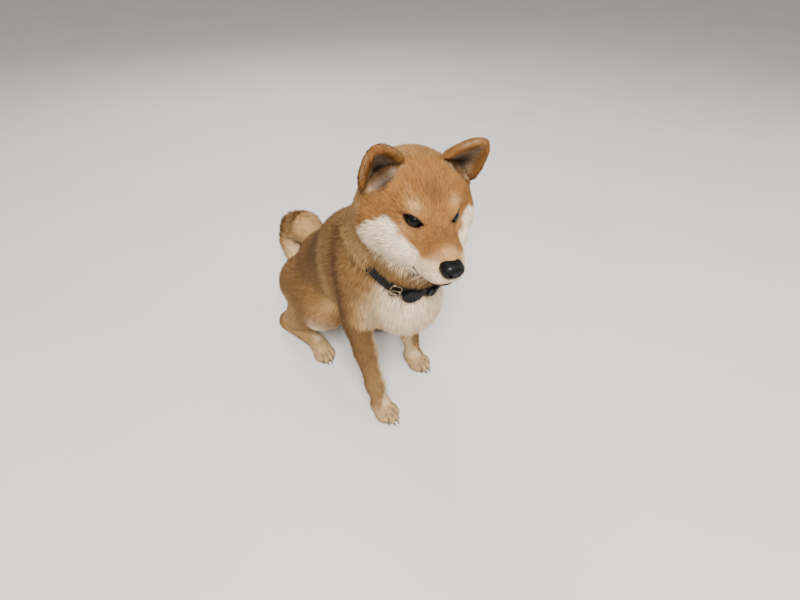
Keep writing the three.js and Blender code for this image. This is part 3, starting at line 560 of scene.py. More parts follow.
def markings(p, n, share):
    """Colour of the coat and how dark its tips are, from places and normals in the drawing."""
    names = "red brown deep tan pale cream white sable dark"
    red, brown, deep, tan, pale, cream, white, sable, dark = map(shade, names.split())
    g = dict(zip(GROUPS, share.T))
    h = on_head(p)
    m = np.abs(h[:, 0])
    hy, hz = h[:, 1], h[:, 2]
    side = np.stack([m, hy, hz], 1)
    ragged = waver(p, 9, 1) * 2.6 + waver(p, 3.5, 2) * 1.4
    patchy = 0.5 + 0.5 * waver(p, 14, 3)
    x, y, z = np.abs(p[:, 0]), p[:, 1], p[:, 2]
    yz = np.stack([y, z], 1)
    plain = np.ones((len(p), 1))

    # trunk: brown, painted shade in a band along the crease behind the shoulder, painted light in a band over
    # the ribs, dark tips on the back
    shoulder_shade = off_line(yz, ((96, 346), (77, 326), (64, 299), (46, 269), (41, 222), (32, 186)))
    rib_light = off_line(yz, ((160, 322), (129, 300), (112, 271), (97, 235), (104, 180)))
    saddle = spot(np.stack([x * 0.6, y, z], 1), (20, 165, 285), (52, 62, 66))
    front = np.interp(z, (150, 169, 193, 229, 256, 285, 300, 314, 340), (6, 9, 14, 10, 6, -6, -14, -19, -30))
    toward = front - y + 1.6 * ragged - 0.5 * np.clip(x - 64, 0, 60)
    breast = ramp(toward, -12, 16)
    belly = np.interp(y, (20, 60, 130, 200), (150, 142, 112, 90))
    trunk = laid(
        plain * brown,
        (red, 0.25 * patchy),
        # painted shade behind the shoulder, then painted light over the ribs
        (deep, 0.75 * bell(shoulder_shade, 13)),
        (tan, 0.9 * bell(rib_light, 15)),
        (sable, 0.34 * saddle * (0.6 + 0.4 * patchy)),
        (deep, 0.3 * ramp(y, 150, 200) * ramp(z, 130, 170)),
        (tan, 0.7 * ramp(z + ragged, 152, 122) * ramp(y, 165, 215)),
        (tan, 0.7 * ramp(toward, -30, 0)),
        (cream, breast),
        (white, 0.75 * breast * ramp(y, -5, -45) * ramp(z, 190, 240)),
        (tan, 0.4 * breast * ramp(waver(p, 17, 5), 0.0, 0.8)),
        (cream, ramp(ragged * 1.5 - z + belly, -8, 10) * ramp(x, 78, 58)),
        (white, 0.95 * spot(yz, (128, 122), (17, 20)) * ramp(x, 58, 68)),
        (cream, 0.8 * ramp(y, 268, 292) * ramp(z, 150, 100)),
    )

    # neck: brown all round, darker on the nape, with painted shade on the throat under the jaw
    neck = laid(
        plain * brown,
        (tan, 0.25 + 0.3 * patchy),
        (deep, 0.3 * ramp(y, 40, 100)),
        # painted shade on the front of the neck, under the jaw
        (deep, 0.5 * ramp(y, 5, -30)),
    )

    # head: red mask, white cheeks, chin and lower muzzle, pale brow spots, dark stop and bridge, painted shade
    # on the sides of the muzzle
    top = np.interp(
        hy, (-70, -58, -50, -42, -36, -31, -14, -3, 5, 13, 17, 22, 33, 40),
        (-20, -21, -20, -24, -25, -22, -20, -14, -7, 0, 1, -6, -18, -26),
    )
    low = np.interp(hy, (-40, -4, 11, 30, 38, 45), (-140, -68, -60, -53, -35, 4))
    blaze = ramp(top - hz + ragged * 0.6, -3, 4) * ramp(hz - low + ragged, -7, 7)
    blaze = blaze * ramp(m + 22 * ramp(hy, 0, -20) + 40 * ramp(hz, -33, -40), 26, 34)
    snout = mix(plain * white, pale, 0.55 * ramp(hy, -30, -44) * ramp(hz, -46, -24))
    head = laid(
        plain * red,
        (pale, 0.16 * patchy),
        (deep, 0.5 * spot(side, (0, 8, 34), (15, 22, 16))),
        (deep, 0.55 * spot(side, (5, -28, -3), (9, 21, 9))),
        # painted shade on the side of the muzzle
        (deep, 0.3 * spot(side, (17, -36, -14), (7, 16, 8))),
        (deep, 0.3 * spot(side, (24, -12, -2), (6, 8, 7))),
        (deep, 0.3 * spot(side, (62, 30, 14), (14, 24, 14))),
        (neck, 0.9 * ramp(hy + ragged, 40, 105)),
        (pale, 0.75 * spot(side, (27, 0, 21), (9, 9, 6.5))),
        (pale, 0.35 * spot(side, (36, -3, -7), (12, 13, 6))),
        (neck, ramp(low - hz + ragged, -4, 5) * ramp(hy, -30, -10)),
        (pale, 0.7 * ramp(hy, -40, -56) * (1 - blaze)),
        (snout, np.maximum(blaze, ramp(hz, -38, -44) * ramp(hy, -38, -50))),
        (tone(176, 120, 106), 0.5 * spot(side, (2, -72, -48), (5, 6, 3))),
    )

    # ears: red backs and rims, grey hair inside round a canal darkened with painted shade
    e = ear_place(h)
    flat = e[:, [0, 2]]
    bowl, fold = ear_bowl(e)
    inside = ramp(in_ear(h, n), 0.3, 0.65) * (1 - ramp(ear_rim(e) + 0.5 * ragged, 8.5, 5))
    hair = mix(shade("ear"), pale, 0.6 * spot(flat, (20, 6), (9, 9)))
    # painted shade in the hollow of the ear, over its canal
    hair = mix(hair, dark, 0.92 * spot(flat, (1, 7), (10, 13)))
    ear = laid(plain * red, (deep, 0.15 + 0.25 * patchy), (hair, inside))
    # painted shade in the fold before each ear; the scoop over the head takes the ear's hair and its painted
    # shade
    head = laid(head, (deep, 0.4 * fold), (hair, bowl), (dark, 0.9 * ramp(off_mouth(h), 2.9, 1.3)))

    # legs: brown outside and behind, cream inside and on the feet; the feet darkened with painted shade for the
    # dim light by the floor, and painted shade between the toes
    facing = n[:, 0] * np.sign(p[:, 0])
    within = -0.95 * facing - 0.3 * n[:, 1] + 0.9 * ramp(z + ragged, 66, 26)
    leg = laid(
        plain * brown,
        (deep, 0.2 + 0.35 * ramp(z, 90, 180)),
        (tan, 0.25 * ramp(z, 100, 50)),
        (cream, ramp(within + 0.03 * ragged, 0.45, 0.95) * ramp(z, 225, 170)),
    )
    within = -facing + 0.9 * ramp(z, 50, 15) + 0.5 * ramp(y, 230, 190)
    hind = laid(plain * tan, (brown, 0.3), (cream, ramp(within, 0.2, 0.9)))
    foot = laid(
        # cream and tan feet, darkened by painted shade for the dim light near the floor
        mix(plain * cream, tan, 0.65) * 0.82,
        (brown, 0.35 * ramp(z + ragged, 12, 40)),
        # painted shade in the gaps between the toes
        (dark, 0.8 * toe_gap(p)),
        (dark, 0.9 * ramp(z, 3.5, 1.5) * ramp(-n[:, 2], 0.3, 0.6)),
    )

    # tail: pale above, brown below, with dark tips along its outer left edge
    t, left, reach = along_tail(p)
    edge = ramp(reach - 0.6 * left, 8, 26) * ramp(t, 0.1, 0.3) * ramp(t, 0.8, 0.6)
    tail = laid(
        plain * pale, (tan, 0.8 * ramp(reach, 0, 16)), (cream, 0.7 * ramp(reach, -2, -14)), (brown, 0.6 * edge),
    )

    worn = (head, head, ear, neck, trunk, trunk, leg, foot, hind, foot, tail)
    colour = sum(each * on[:, None] for each, on in zip(worn, share.T))
    body = g["torso"] + g["haunch"]
    tips = 0.8 * saddle * body * (1 - breast) + 0.5 * edge * g["tail"]
    tips += 0.35 * g["neck"] * ramp(y, 10, 60) + 0.25 * body * ramp(z, 190, 250) * (1 - breast)
    tips += 0.45 * g["head"] * spot(h, (0, 14, 38), (24, 28, 16)) * (1 - blaze)
    return np.clip(colour, 0, 1), np.clip(tips, 0, 1)


def along_tail(p):
    """Share of the tail's length, offset to its left, and offset away from the middle of its curl."""
    best = np.full(len(p), 1e9)
    t = np.zeros(len(p))
    near = np.zeros((len(p), 3))
    for i, (a, b) in enumerate(zip(TAIL_PATH, TAIL_PATH[1:])):
        u = np.clip(((p - a) @ (b - a)) / ((b - a) @ (b - a)), 0, 1)
        q = a + u[:, None] * (b - a)
        d = np.linalg.norm(p - q, axis=1)
        t = np.where(d < best, (i + u) / 5, t)
        near = np.where((d < best)[:, None], q, near)
        best = np.minimum(best, d)
    out = near - TAIL_CURL
    out[:, 0] = 0
    return t, p[:, 0] - near[:, 0], ((p - near) * unit(out)).sum(1)


def tail_way(p):
    t = along_tail(p)[0] * 5
    i = np.clip(t.astype(int), 0, 4)
    way = unit(TAIL_PATH[i + 1] - TAIL_PATH[i])
    after = unit(TAIL_PATH[np.clip(i + 2, 0, 5)] - TAIL_PATH[i + 1] + 1e-6)
    return unit(way * (1.3 - (t - i))[:, None] + after * (t - i)[:, None])


def lie_of_coat(p, share):
    """The way the coat lies at places of the drawing."""
    g = dict(zip(GROUPS, share.T))
    h = on_head(p)
    side = np.sign(p[:, 0])
    m = np.abs(h[:, 0])
    one = np.ones(len(p))

    head = unit(h - np.array([0, -62, -26]))
    head += np.outer(1.5 * ramp(h[:, 1], 40, 110), (0, 0, -1))
    head += np.outer(0.6 * ramp(m, 40, 70) * ramp(h[:, 2], 10, -30), (0, 0.1, -1))
    for s, e, near in by_eyes(h, np.inf):
        near = bell(np.hypot(e[:, 0], e[:, 1] * 1.6), 17) * near
        _, along, up, _ = eye_axes(s)
        head += 1.2 * near[:, None] * unit(e[:, :1] * along + e[:, 1:2] * 1.8 * up)
    head += 2 * np.outer(bell(off_mouth(h), 6), (0, 1, 0))
    jaw = np.stack([h[:, 0] * 0.01, one, -0.1 * one], 1)
    rise = EAR_TIP - (EAR_INNER + EAR_OUTER) / 2
    rise = np.stack([rise[0] * np.sign(h[:, 0]), one * rise[1], one * rise[2]], 1)
    e = ear_place(h)
    bowl, fold = ear_bowl(e)
    axes = np.stack(ear_frame())
    fan = unit(e * (1, 0, 1) - (1, -6, 2)) @ axes
    climb = np.tile(axes[0] * 0.5 + axes[2], (len(p), 1))
    fan[:, 0] *= np.sign(h[:, 0])
    climb[:, 0] *= np.sign(h[:, 0])
    head = unit(head) + 2 * bowl[:, None] * fan + 1.6 * fold[:, None] * climb
    way = {
        "head": unit(head) @ HEAD_TURN.T,
        "jaw": unit(jaw) @ HEAD_TURN.T,
        "ear": unit(rise) @ HEAD_TURN.T,
        "neck": np.stack([p[:, 0] * 0.003, 0.32 * ramp(p[:, 1], -30, 50), -one], 1),
        "haunch": np.stack([0 * one, 0.35 * one, -0.95 * one], 1),
        "foreleg": np.stack([0 * one, -0.1 * one, -one], 1),
        "forepaw": np.stack([0 * one, -one, -0.3 * one], 1),
        "hindpaw": np.stack([-0.12 * side, -one, -0.3 * one], 1),
        "tail": tail_way(p),
    }
    back = ramp(p[:, 1], 0, 95)
    way["torso"] = np.stack([p[:, 0] * 0.003 * (1 - back), 0.12 + 0.6 * back, -1 + 0.2 * back], 1)
    low = ramp(p[:, 2], 76, 42)
    way["hindleg"] = np.stack([0.1 * side * (1 - 2.2 * low), 0.8 - 1.8 * low, -0.6 + 0.5 * low], 1)
    return unit(sum(unit(v) * g[k][:, None] for k, v in way.items()))


def coat_sizes(p, n, share):
    """Depth of the coat and the length and width of its tufts, at places of the drawing."""
    depth, long, wide = (share @ np.array([COAT[k] for k in GROUPS])).T
    h = on_head(p)
    g = dict(zip(GROUPS, share.T))
    m = np.abs(h[:, 0])
    on = g["head"] + g["jaw"]
    back = ramp(h[:, 1], -20, 90)
    cheek = ramp(m, 34, 62) * ramp(h[:, 2], 0, -26) * ramp(h[:, 1], -5, 30)
    long = long * (1 - on + on * (0.36 + 0.64 * ramp(h[:, 1], -48, 12) + 0.5 * back + 0.3 * cheek))
    wide = wide * (1 - on + on * (0.62 + 0.38 * ramp(h[:, 1], -48, 10) + 0.1 * back - 0.15 * cheek))
    depth = depth * (1 - on + on * (0.28 + 0.5 * ramp(h[:, 1], -40, 20) + 0.3 * back + 0.9 * cheek))
    lips = bell(off_mouth(h), 6) * on
    long = long * (1 - 0.78 * lips)
    depth = depth * (1 - 0.8 * lips)
    for _, e, near in by_eyes(h, 16):
        near = np.exp(-np.maximum(almond(e), 0) / 7) * near
        long = long * (1 - 0.7 * near)
        depth = depth * (1 - 0.78 * near)
        wide = wide * (1 - 0.3 * near)
    upper = g["foreleg"] * ramp(p[:, 2], 110, 180)
    breast = g["torso"] * ramp(p[:, 1], 30, -10) * ramp(p[:, 2], 180, 220)
    down = on * ramp(-(n @ HEAD_TURN)[:, 2], 0.15, 0.75) * ramp(h[:, 1], 75, 50)
    long = long * (1 - 0.4 * down)
    bowl, fold = ear_bowl(ear_place(h))
    depth = depth * (1 - 0.75 * on * bowl)
    hollow = g["ear"] * ramp(in_ear(h, n), 0.3, 0.7)
    rim = g["ear"] * ramp(ear_rim(ear_place(h)), 10, 6)
    long = long + upper * 7 + breast * 8 + hollow * 4 + rim * 3.5
    depth = depth + upper * 4 + breast * 2
    ruffle = 0.5 * breast + 0.35 * g["tail"] + 0.3 * on * cheek + 0.4 * on * fold + 0.3 * rim
    return depth, long * bpy.context.scene.shiba_sizes.coat_length, wide, ruffle


BODY = {}  # what the coat's pieces read from the skin

# The blocks that fill the body below its outline: where they start, their size and their counts
CORE_LOW, CORE_CELL, CORE_COUNTS = np.array((-112.0, -150.0, 0.0)), 4.5, (50, 124, 98)
CORE_UNDER, CORE_FLOOR, CORE_TOP = 5.0, 8.0, 330.0
EVENING_ROUNDS = 5
SETTLE_ROUNDS, SETTLE_STEP, SETTLE_SHARE = 7, 4.0, 0.9
STRAY_ROUNDS, STRAY_LIMIT = 5, 1.5
INSET_STEPS = 8
BESIDE_STRAP, FUR_OVER_STRAP, DENT_UNDER_STRAP = 11.0, 3.2, 3.4
EAR_SKIN, EAR_RIM_FUR = 1.0, 1.2
LOWEST_OUTER, LOWEST_SKIN, LOWEST_ROOT, LOWEST_TUFT = 0.3, 0.2, 0.25, 0.15

# The tufts: rings along each, share of guard hairs, height of the ridge against half the width,
# the share of its length by which a tuft overlaps the next, and the size of its patch on OFBake
TUFT_RINGS, GUARD_SHARE, TUFT_RIDGE, TUFT_COVER, PATCH = 2, 0.14, 0.8, 0.6, 0.003
TUFTS_TO_A_CLUMP = 14
# painted shade darkens each tuft towards its root, painted light brightens its tip
ROOT_TO_TIP = (0.68, 0.94, 1.13)  # brightness at the root, the middle and the tip


def nearest_groups(p):
    """Each place's group of nodes, from the solid nearest to it."""
    at, owner = [], []
    for i, names in enumerate(GROUPS.values()):
        for name in names:
            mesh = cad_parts[name].data
            centres = np.empty(len(mesh.polygons) * 3, np.float32)
            mesh.polygons.foreach_get("center", centres)
            at.append(drawing(np.concatenate([places(mesh), centres.reshape(-1, 3)])))
            owner.append(np.full(len(at[-1]), i))
    at, owner = np.concatenate(at), np.concatenate(owner)
    tree = KDTree(len(at))
    for i, q in enumerate(at):
        tree.insert(q, i)
    tree.balance()
    found = np.array([owner[tree.find(q)[1]] for q in p])
    return np.eye(len(GROUPS))[found]


class SHIBA_OT_skin(bpy.types.Operator):
    """One skin over the whole body, inside the solids by the depth of the coat"""

    bl_idname = "shiba.skin"
    bl_label = "Skin"

    def execute(self, context):
        piece = self.cast_body(context)
        mesh = piece.data
        self.refine(mesh)
        spread = Spread(mesh)
        p = drawing(places(mesh))
        share = spread(nearest_groups(p), 6)
        g = dict(zip(GROUPS, share.T))
        for _ in range(EVENING_ROUNDS):
            p = spread(p, 1, 0.45)
            p = spread(p, 1, -0.42)
        outer = self.settle(mesh, spread, p, 1 - g["ear"])
        n = normals(mesh)
        share = spread(nearest_groups(outer), 6)
        g = dict(zip(GROUPS, share.T))
        depth, long, wide, ruffle = spread(np.stack(coat_sizes(outer, n, share), 1), 10).T
        h = on_head(outer)
        fluff = g["torso"] + g["neck"] + g["haunch"] + 0.8 * g["tail"]
        fluff += 0.7 * g["head"] * ramp(h[:, 1], -10, 30)
        fluff = fluff * context.scene.shiba_sizes.fluff / MM
        fluff += g["ear"] * (EAR_SKIN + EAR_RIM_FUR * ramp(ear_rim(ear_place(h)), 9, 5))
        off = (outer - COLLAR_MIDDLE) @ COLLAR_NORMAL
        bare = strap_shows(outer)
        by_strap = bell(off, BESIDE_STRAP) * (g["neck"] + g["torso"]) * (np.abs(off) < 30)
        by_strap = by_strap * (FUR_OVER_STRAP * (1 - bare) - DENT_UNDER_STRAP * bare)
        outer = outer + n * (fluff + by_strap)[:, None]
        h = on_head(outer)
        bowl, fold = (v * g["head"] for v in ear_bowl(ear_place(h)))
        dish = bowl * spot(ear_place(h), (2, 1, 0), (17, 9, 99))
        lips = bell(off_mouth(h), 1.5) * ramp(h[:, 1], -28, -34)
        outer = outer + n * (2.6 * fold - 4.5 * dish - 1.2 * lips)[:, None]
        outer = from_head(self.lids(on_head(outer)))
        outer[:, 2] = np.maximum(outer[:, 2], LOWEST_OUTER)
        move_to(mesh, row(outer))
        n = normals(mesh)
        fine = g["head"] + g["jaw"] + g["ear"] + g["forepaw"] + g["hindpaw"]
        p = outer.copy()
        for _ in range(INSET_STEPS):
            p = p - normals(mesh) * (depth / INSET_STEPS)[:, None]
            p = spread(p, 1, 0.25 * np.clip(1 - fine, 0, 1))
            p[:, 2] = np.maximum(p[:, 2], LOWEST_SKIN)
            move_to(mesh, row(p))
        p = self.face(mesh, p)
        move_to(mesh, row(p))
        way = unit(spread(lie_of_coat(outer, share), 12))
        way = unit(way - n * (way * n).sum(1)[:, None])
        colour, tips = markings(outer, n, share)
        self.paint(mesh, colour, outer)
        BODY.update(
            mesh=mesh, skin=p, outer=outer, normal=n, way=way, share=share,
            long=long, wide=wide, ruffle=ruffle, colour=colour, tips=tips, h=on_head(outer),
        )
        tree = KDTree(len(outer))
        for i, place in enumerate(outer):
            tree.insert(place, i)
        tree.balance()
        BODY["tree"] = tree
        self.unwrap(piece)
        print("skin", len(mesh.vertices), len(mesh.polygons))
        return {"FINISHED"}

    def cast_body(self, context):
        whole = bmesh.new()
        for name in FLESH + ("eye_left", "eye_right", "nose"):
            whole.from_mesh(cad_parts[name].data)
        absorb(whole, self.core())
        bmesh.ops.remove_doubles(whole, verts=whole.verts, dist=1e-6)
        mesh = made("skin", whole)
        piece = add_piece("skin", mesh, FLESH)
        mend = piece.modifiers.new("mend", "REMESH")
        mend.mode = "VOXEL"
        mend.voxel_size = context.scene.shiba_sizes.voxel
        only_active(piece)
        bpy.ops.object.modifier_apply(modifier=mend.name)
        self.keep_largest(mesh)
        return piece

    def core(self):
        """Blocks that fill the body well below its outline, so no gap is left between the solids."""
        cells = np.stack(np.meshgrid(*[np.arange(c) for c in CORE_COUNTS], indexing="ij"), -1)
        middles = CORE_LOW + (cells + 0.5) * CORE_CELL
        inside = (body_field(middles.reshape(-1, 3)) < -CORE_UNDER).reshape(CORE_COUNTS)
        inside &= (middles[..., 2] > CORE_FLOOR) & (middles[..., 2] < CORE_TOP)
        around = np.pad(inside, 1)
        corners = []
        for axis in range(3):
            a, b = (k for k in range(3) if k != axis)
            for side in (0, 1):
                beyond = np.roll(around, 1 - 2 * side, axis)[1:-1, 1:-1, 1:-1]
                ring = ((0, 0), (1, 0), (1, 1), (0, 1))
                if (side == 0) != (axis == 1):
                    ring = ring[::-1]
                for u, v in ring:
                    corner = np.argwhere(inside & ~beyond)
                    corner[:, axis] += side
                    corner[:, a] += u
                    corner[:, b] += v
                    corners.append(corner)
        quads = np.concatenate([np.stack(corners[i:i + 4], 1) for i in range(0, 24, 4)])
        corners_at, index = np.unique(quads.reshape(-1, 3), axis=0, return_inverse=True)
        mesh = bpy.data.meshes.new("core")
        mesh.from_pydata(row(CORE_LOW + corners_at * CORE_CELL).tolist(), [], index.reshape(-1, 4).tolist())
        return mesh

    def keep_largest(self, mesh):
        """Drops the bubbles that the remesh leaves where two solids meet."""
        whole = bmesh.new()
        whole.from_mesh(mesh)
        parts, seen = [], set()
        for start in whole.verts:
            if start in seen:
                continue
            seen.add(start)
            part = [start]
            for vert in part:
                for edge in vert.link_edges:
                    other = edge.other_vert(vert)
                    if other not in seen:
                        seen.add(other)
                        part.append(other)
            parts.append(part)
        parts.sort(key=len)
        bmesh.ops.delete(whole, geom=[v for part in parts[:-1] for v in part], context="VERTS")
        whole.to_mesh(mesh)
        whole.free()

    def refine(self, mesh):
        """Finer faces on the face and paws, and finer still round the eyes and mouth."""
        def face_or_paws(p, h):
            near = (h[:, 1] < 30) & (h[:, 2] < 32) & (h[:, 2] > -72)
            for at, _ in PAWS:
                near |= (np.linalg.norm(p - at - (0, -6, 8), axis=1) < 34) & (p[:, 2] < 22)
            return near

        def eyes_or_lips(p, h):
            near = (off_mouth(h) < 4) & (h[:, 1] < -24)
            for s in (1, -1):
                near |= np.linalg.norm((h - EYE_CENTRE * (s, 1, 1)) / (18, 18, 13), axis=1) < 1
            return near

        for wanted in (face_or_paws, eyes_or_lips):
            fine = bmesh.new()
            fine.from_mesh(mesh)
            p = drawing(np.array([v.co for v in fine.verts]))
            chosen = wanted(p, on_head(p))
            fine.verts.ensure_lookup_table()
            picked = [e for e in fine.edges if chosen[e.verts[0].index] and chosen[e.verts[1].index]]
            bmesh.ops.subdivide_edges(fine, edges=picked, cuts=1, use_grid_fill=True)
            fine.to_mesh(mesh)
            fine.free()

    def settle(self, mesh, spread, p, weight):
        """Moves the skin onto the drawn outline of the body, except the ears."""
        for i in range(SETTLE_ROUNDS):
            move_to(mesh, row(p))
            off = np.clip(body_field(p), -SETTLE_STEP, SETTLE_STEP) * weight
            p = p - normals(mesh) * (off * SETTLE_SHARE)[:, None]
            if i < SETTLE_ROUNDS - 3:
                p = spread(p, 1, 0.2 * np.clip(weight, 0, 1))
        for _ in range(STRAY_ROUNDS):
            f = body_field(p)
            far = (f > STRAY_LIMIT) & (weight > 0.9)
            q = p[far]
            rise = unit(np.stack([body_field(q + e) - body_field(q - e) for e in np.eye(3) * 0.5], 1))
            p[far] = q - rise * f[far, None]
            p = spread(p, 2, 0.5 * np.clip(spread(far * 1.0, 3), 0, 1))
        return p

    def lids(self, h):
        """Draws the coat in to the edges of the lids."""
        for s, e, near in by_eyes(h, 18):
            away = almond(e)
            near &= away < 10
            rim = lid_out(e[:, 0])
            lid = rim + 0.7 + (e[:, 2] - rim - 0.7) * ramp(away, 0.5, 9)
            h = h + np.where(near, lid - e[:, 2], 0)[:, None] * eye_axes(s)[3]
        return h

    def face(self, mesh, p):
        """Sockets behind the lids, the line of the mouth and the seat of the nose."""
        h = on_head(p)
        n = normals(mesh) @ HEAD_TURN
        for s, e, near in by_eyes(h, 18):
            away = almond(e)
            near &= away < 10
            rim = lid_out(e[:, 0])
            back = EYE_RADIUS**2 - e[:, 0] ** 2 - e[:, 1] ** 2
            ball_out = -EYE_DEEP + np.sqrt(np.clip(back, 0, None))
            hole = np.where(ball_out > -EYE_DEEP + 3, np.minimum(ball_out, rim) - 2.2, rim - 1.6)
            lid = rim + 0.3 + (e[:, 2] - rim - 0.3) * ramp(away, 0.8, 7)
            goal = np.where(away < 0, hole, lid)
            h = h + np.where(near, goal - e[:, 2], 0)[:, None] * eye_axes(s)[3]
        d = off_mouth(h)
        groove = 1.2 * bell(d, 0.9) * ramp(h[:, 1], -29, -34)
        lips = 0.9 * bell(d - 2.2, 1.2) * ramp(h[:, 1], -29, -36)
        cleft = 1.4 * bell(h[:, 0], 1.0) * ramp(h[:, 1], -60, -65) * ramp(h[:, 2], -51, -48)
        h = h - n * (groove - lips + cleft)[:, None]
        q = (h - NOSE_AT) / NOSE_SIZE
        r = np.linalg.norm(q, axis=1)
        seat = (r < 1.12) & (h[:, 1] < -52)
        h = np.where(seat[:, None], NOSE_AT + q / np.maximum(r, 1e-6)[:, None] * 0.6 * NOSE_SIZE, h)
        return from_head(h)

    def paint(self, mesh, colour, outer):
        h = on_head(outer)
        bare = ramp(off_mouth(h), 2.6, 1.6)
        for _, e, near in by_eyes(h, 12):
            bare = np.maximum(bare, ramp(almond(e), 2.4, 1.0) * near)
        seat = ramp(np.linalg.norm((h - NOSE_AT) / NOSE_SIZE, axis=1), 1.25, 1.12) * (h[:, 1] < -52)
        bare = np.maximum(bare, seat)
        full = np.ones((len(h), 4), np.float32)
        # the skin under the coat is painted in shade, darker than the coat, with dark skin at the lips, eye
        # rims and nose seat
        full[:, :3] = mix(colour * 0.85, shade("dark"), bare)
        layer = mesh.color_attributes.new("coat", "FLOAT_COLOR", "POINT")
        layer.data.foreach_set("color", full.ravel())
        mesh.materials.append(hair("skin", 700, (0.5, 0.0006)))
        mesh.shade_smooth()

    def unwrap(self, piece):
        piece.data.uv_layers.new(name="OFBake")
        only_active(piece)
        bpy.ops.object.mode_set(mode="EDIT")
        bpy.ops.mesh.select_all(action="SELECT")
        bpy.ops.uv.smart_project(angle_limit=math.radians(60), island_margin=0.002)
        bpy.ops.object.mode_set(mode="OBJECT")


def coloured(nodes, links, colour):
    """A plain colour, a mesh's colour layer by its name, or a (value's name, steps) as a band of colours."""
    if isinstance(colour, str):
        layer = nodes.new("ShaderNodeVertexColor")
        layer.layer_name = colour
        return layer.outputs["Color"]
    if not isinstance(colour[0], str):
        return colour
    value = nodes.new("ShaderNodeAttribute")
    value.attribute_name = colour[0]
    band = nodes.new("ShaderNodeValToRGB")
    links.new(value.outputs["Fac"], band.inputs["Fac"])
    keys = band.color_ramp.elements
    while len(keys) < len(colour[1]):
        keys.new(0.5)
    for key, (place, shown) in zip(keys, colour[1]):
        key.position = place
        key.color = (*shown, 1)
    return band.outputs["Color"]


def finish(name, rough, colour, amount, grain, bump=None, cells=None, stretch=(1, 1, 1), **sockets):
    """A material whose colour varies by a noise of the given grain, which or whose cells raise it."""
    if name in bpy.data.materials:
        return bpy.data.materials[name]
    stuff = bpy.data.materials.new(name)
    stuff.use_nodes = True
    nodes, links = stuff.node_tree.nodes, stuff.node_tree.links
    face = nodes["Principled BSDF"]
    face.inputs["Roughness"].default_value = rough
    for socket, value in sockets.items():
        face.inputs[socket.replace("_", " ")].default_value = value
    coords = nodes.new("ShaderNodeTexCoord")
    turn = nodes.new("ShaderNodeMapping")
    turn.inputs["Scale"].default_value = stretch
    links.new(coords.outputs["Object"], turn.inputs["Vector"])
    noise = nodes.new("ShaderNodeTexNoise")
    noise.inputs["Scale"].default_value = grain
    noise.inputs["Detail"].default_value = 4.0
    links.new(turn.outputs["Vector"], noise.inputs["Vector"])
    height = noise.outputs["Fac"]
    change = nodes.new("ShaderNodeMapRange")
    limits = {"From Min": 0.35, "From Max": 0.65, "To Min": 1 - amount, "To Max": 1 + amount}
    for socket, value in limits.items():
        change.inputs[socket].default_value = value
    links.new(height, change.inputs["Value"])
    scaled = nodes.new("ShaderNodeVectorMath")
    scaled.operation = "SCALE"
    links.new(change.outputs["Result"], scaled.inputs["Scale"])
    source = coloured(nodes, links, colour)
    if isinstance(source, bpy.types.NodeSocket):
        links.new(source, scaled.inputs[0])
    else:
        scaled.inputs[0].default_value = tuple(source)
    links.new(scaled.outputs["Vector"], face.inputs["Base Color"])
    if cells:
        grid = nodes.new("ShaderNodeTexVoronoi")
        grid.inputs["Scale"].default_value = cells
        links.new(coords.outputs["Object"], grid.inputs["Vector"])
        height = grid.outputs["Distance"]
    if bump:
        raised = nodes.new("ShaderNodeBump")
        raised.inputs["Strength"].default_value, raised.inputs["Distance"].default_value = bump
        links.new(height, raised.inputs["Height"])
        links.new(raised.outputs["Normal"], face.inputs["Normal"])
    return stuff


def hair(name, grain, bump):
    """Hair takes its colour from the piece's own layer."""
    return finish(name, 0.7, "coat", 0.1, grain, bump, Specular_IOR_Level=0.12)


def zigzag(q):
    """A key that keeps places that are near each other together."""
    cell = np.clip(((q - q.min(0)) / 4.0).astype(np.int64), 0, 1023)
    key = np.zeros(len(q), np.int64)
    for bit in range(10):
        for axis in range(3):
            key |= ((cell[:, axis] >> bit) & 1) << (3 * bit + axis)
    return key


def skin_triangles():
    """The skin's triangles, and the places of their corners on the map OFBake."""
    mesh = BODY["mesh"]
    mesh.calc_loop_triangles()
    count = len(mesh.loop_triangles)
    tris = np.empty(count * 3, np.int32)
    mesh.loop_triangles.foreach_get("vertices", tris)
    loops = np.empty(count * 3, np.int32)
    mesh.loop_triangles.foreach_get("loops", loops)
    uv = np.empty(len(mesh.loops) * 2, np.float32)
    mesh.uv_layers["OFBake"].uv.foreach_get("vector", uv)
    return tris.reshape(-1, 3), uv.reshape(-1, 2)[loops.reshape(-1, 3)]


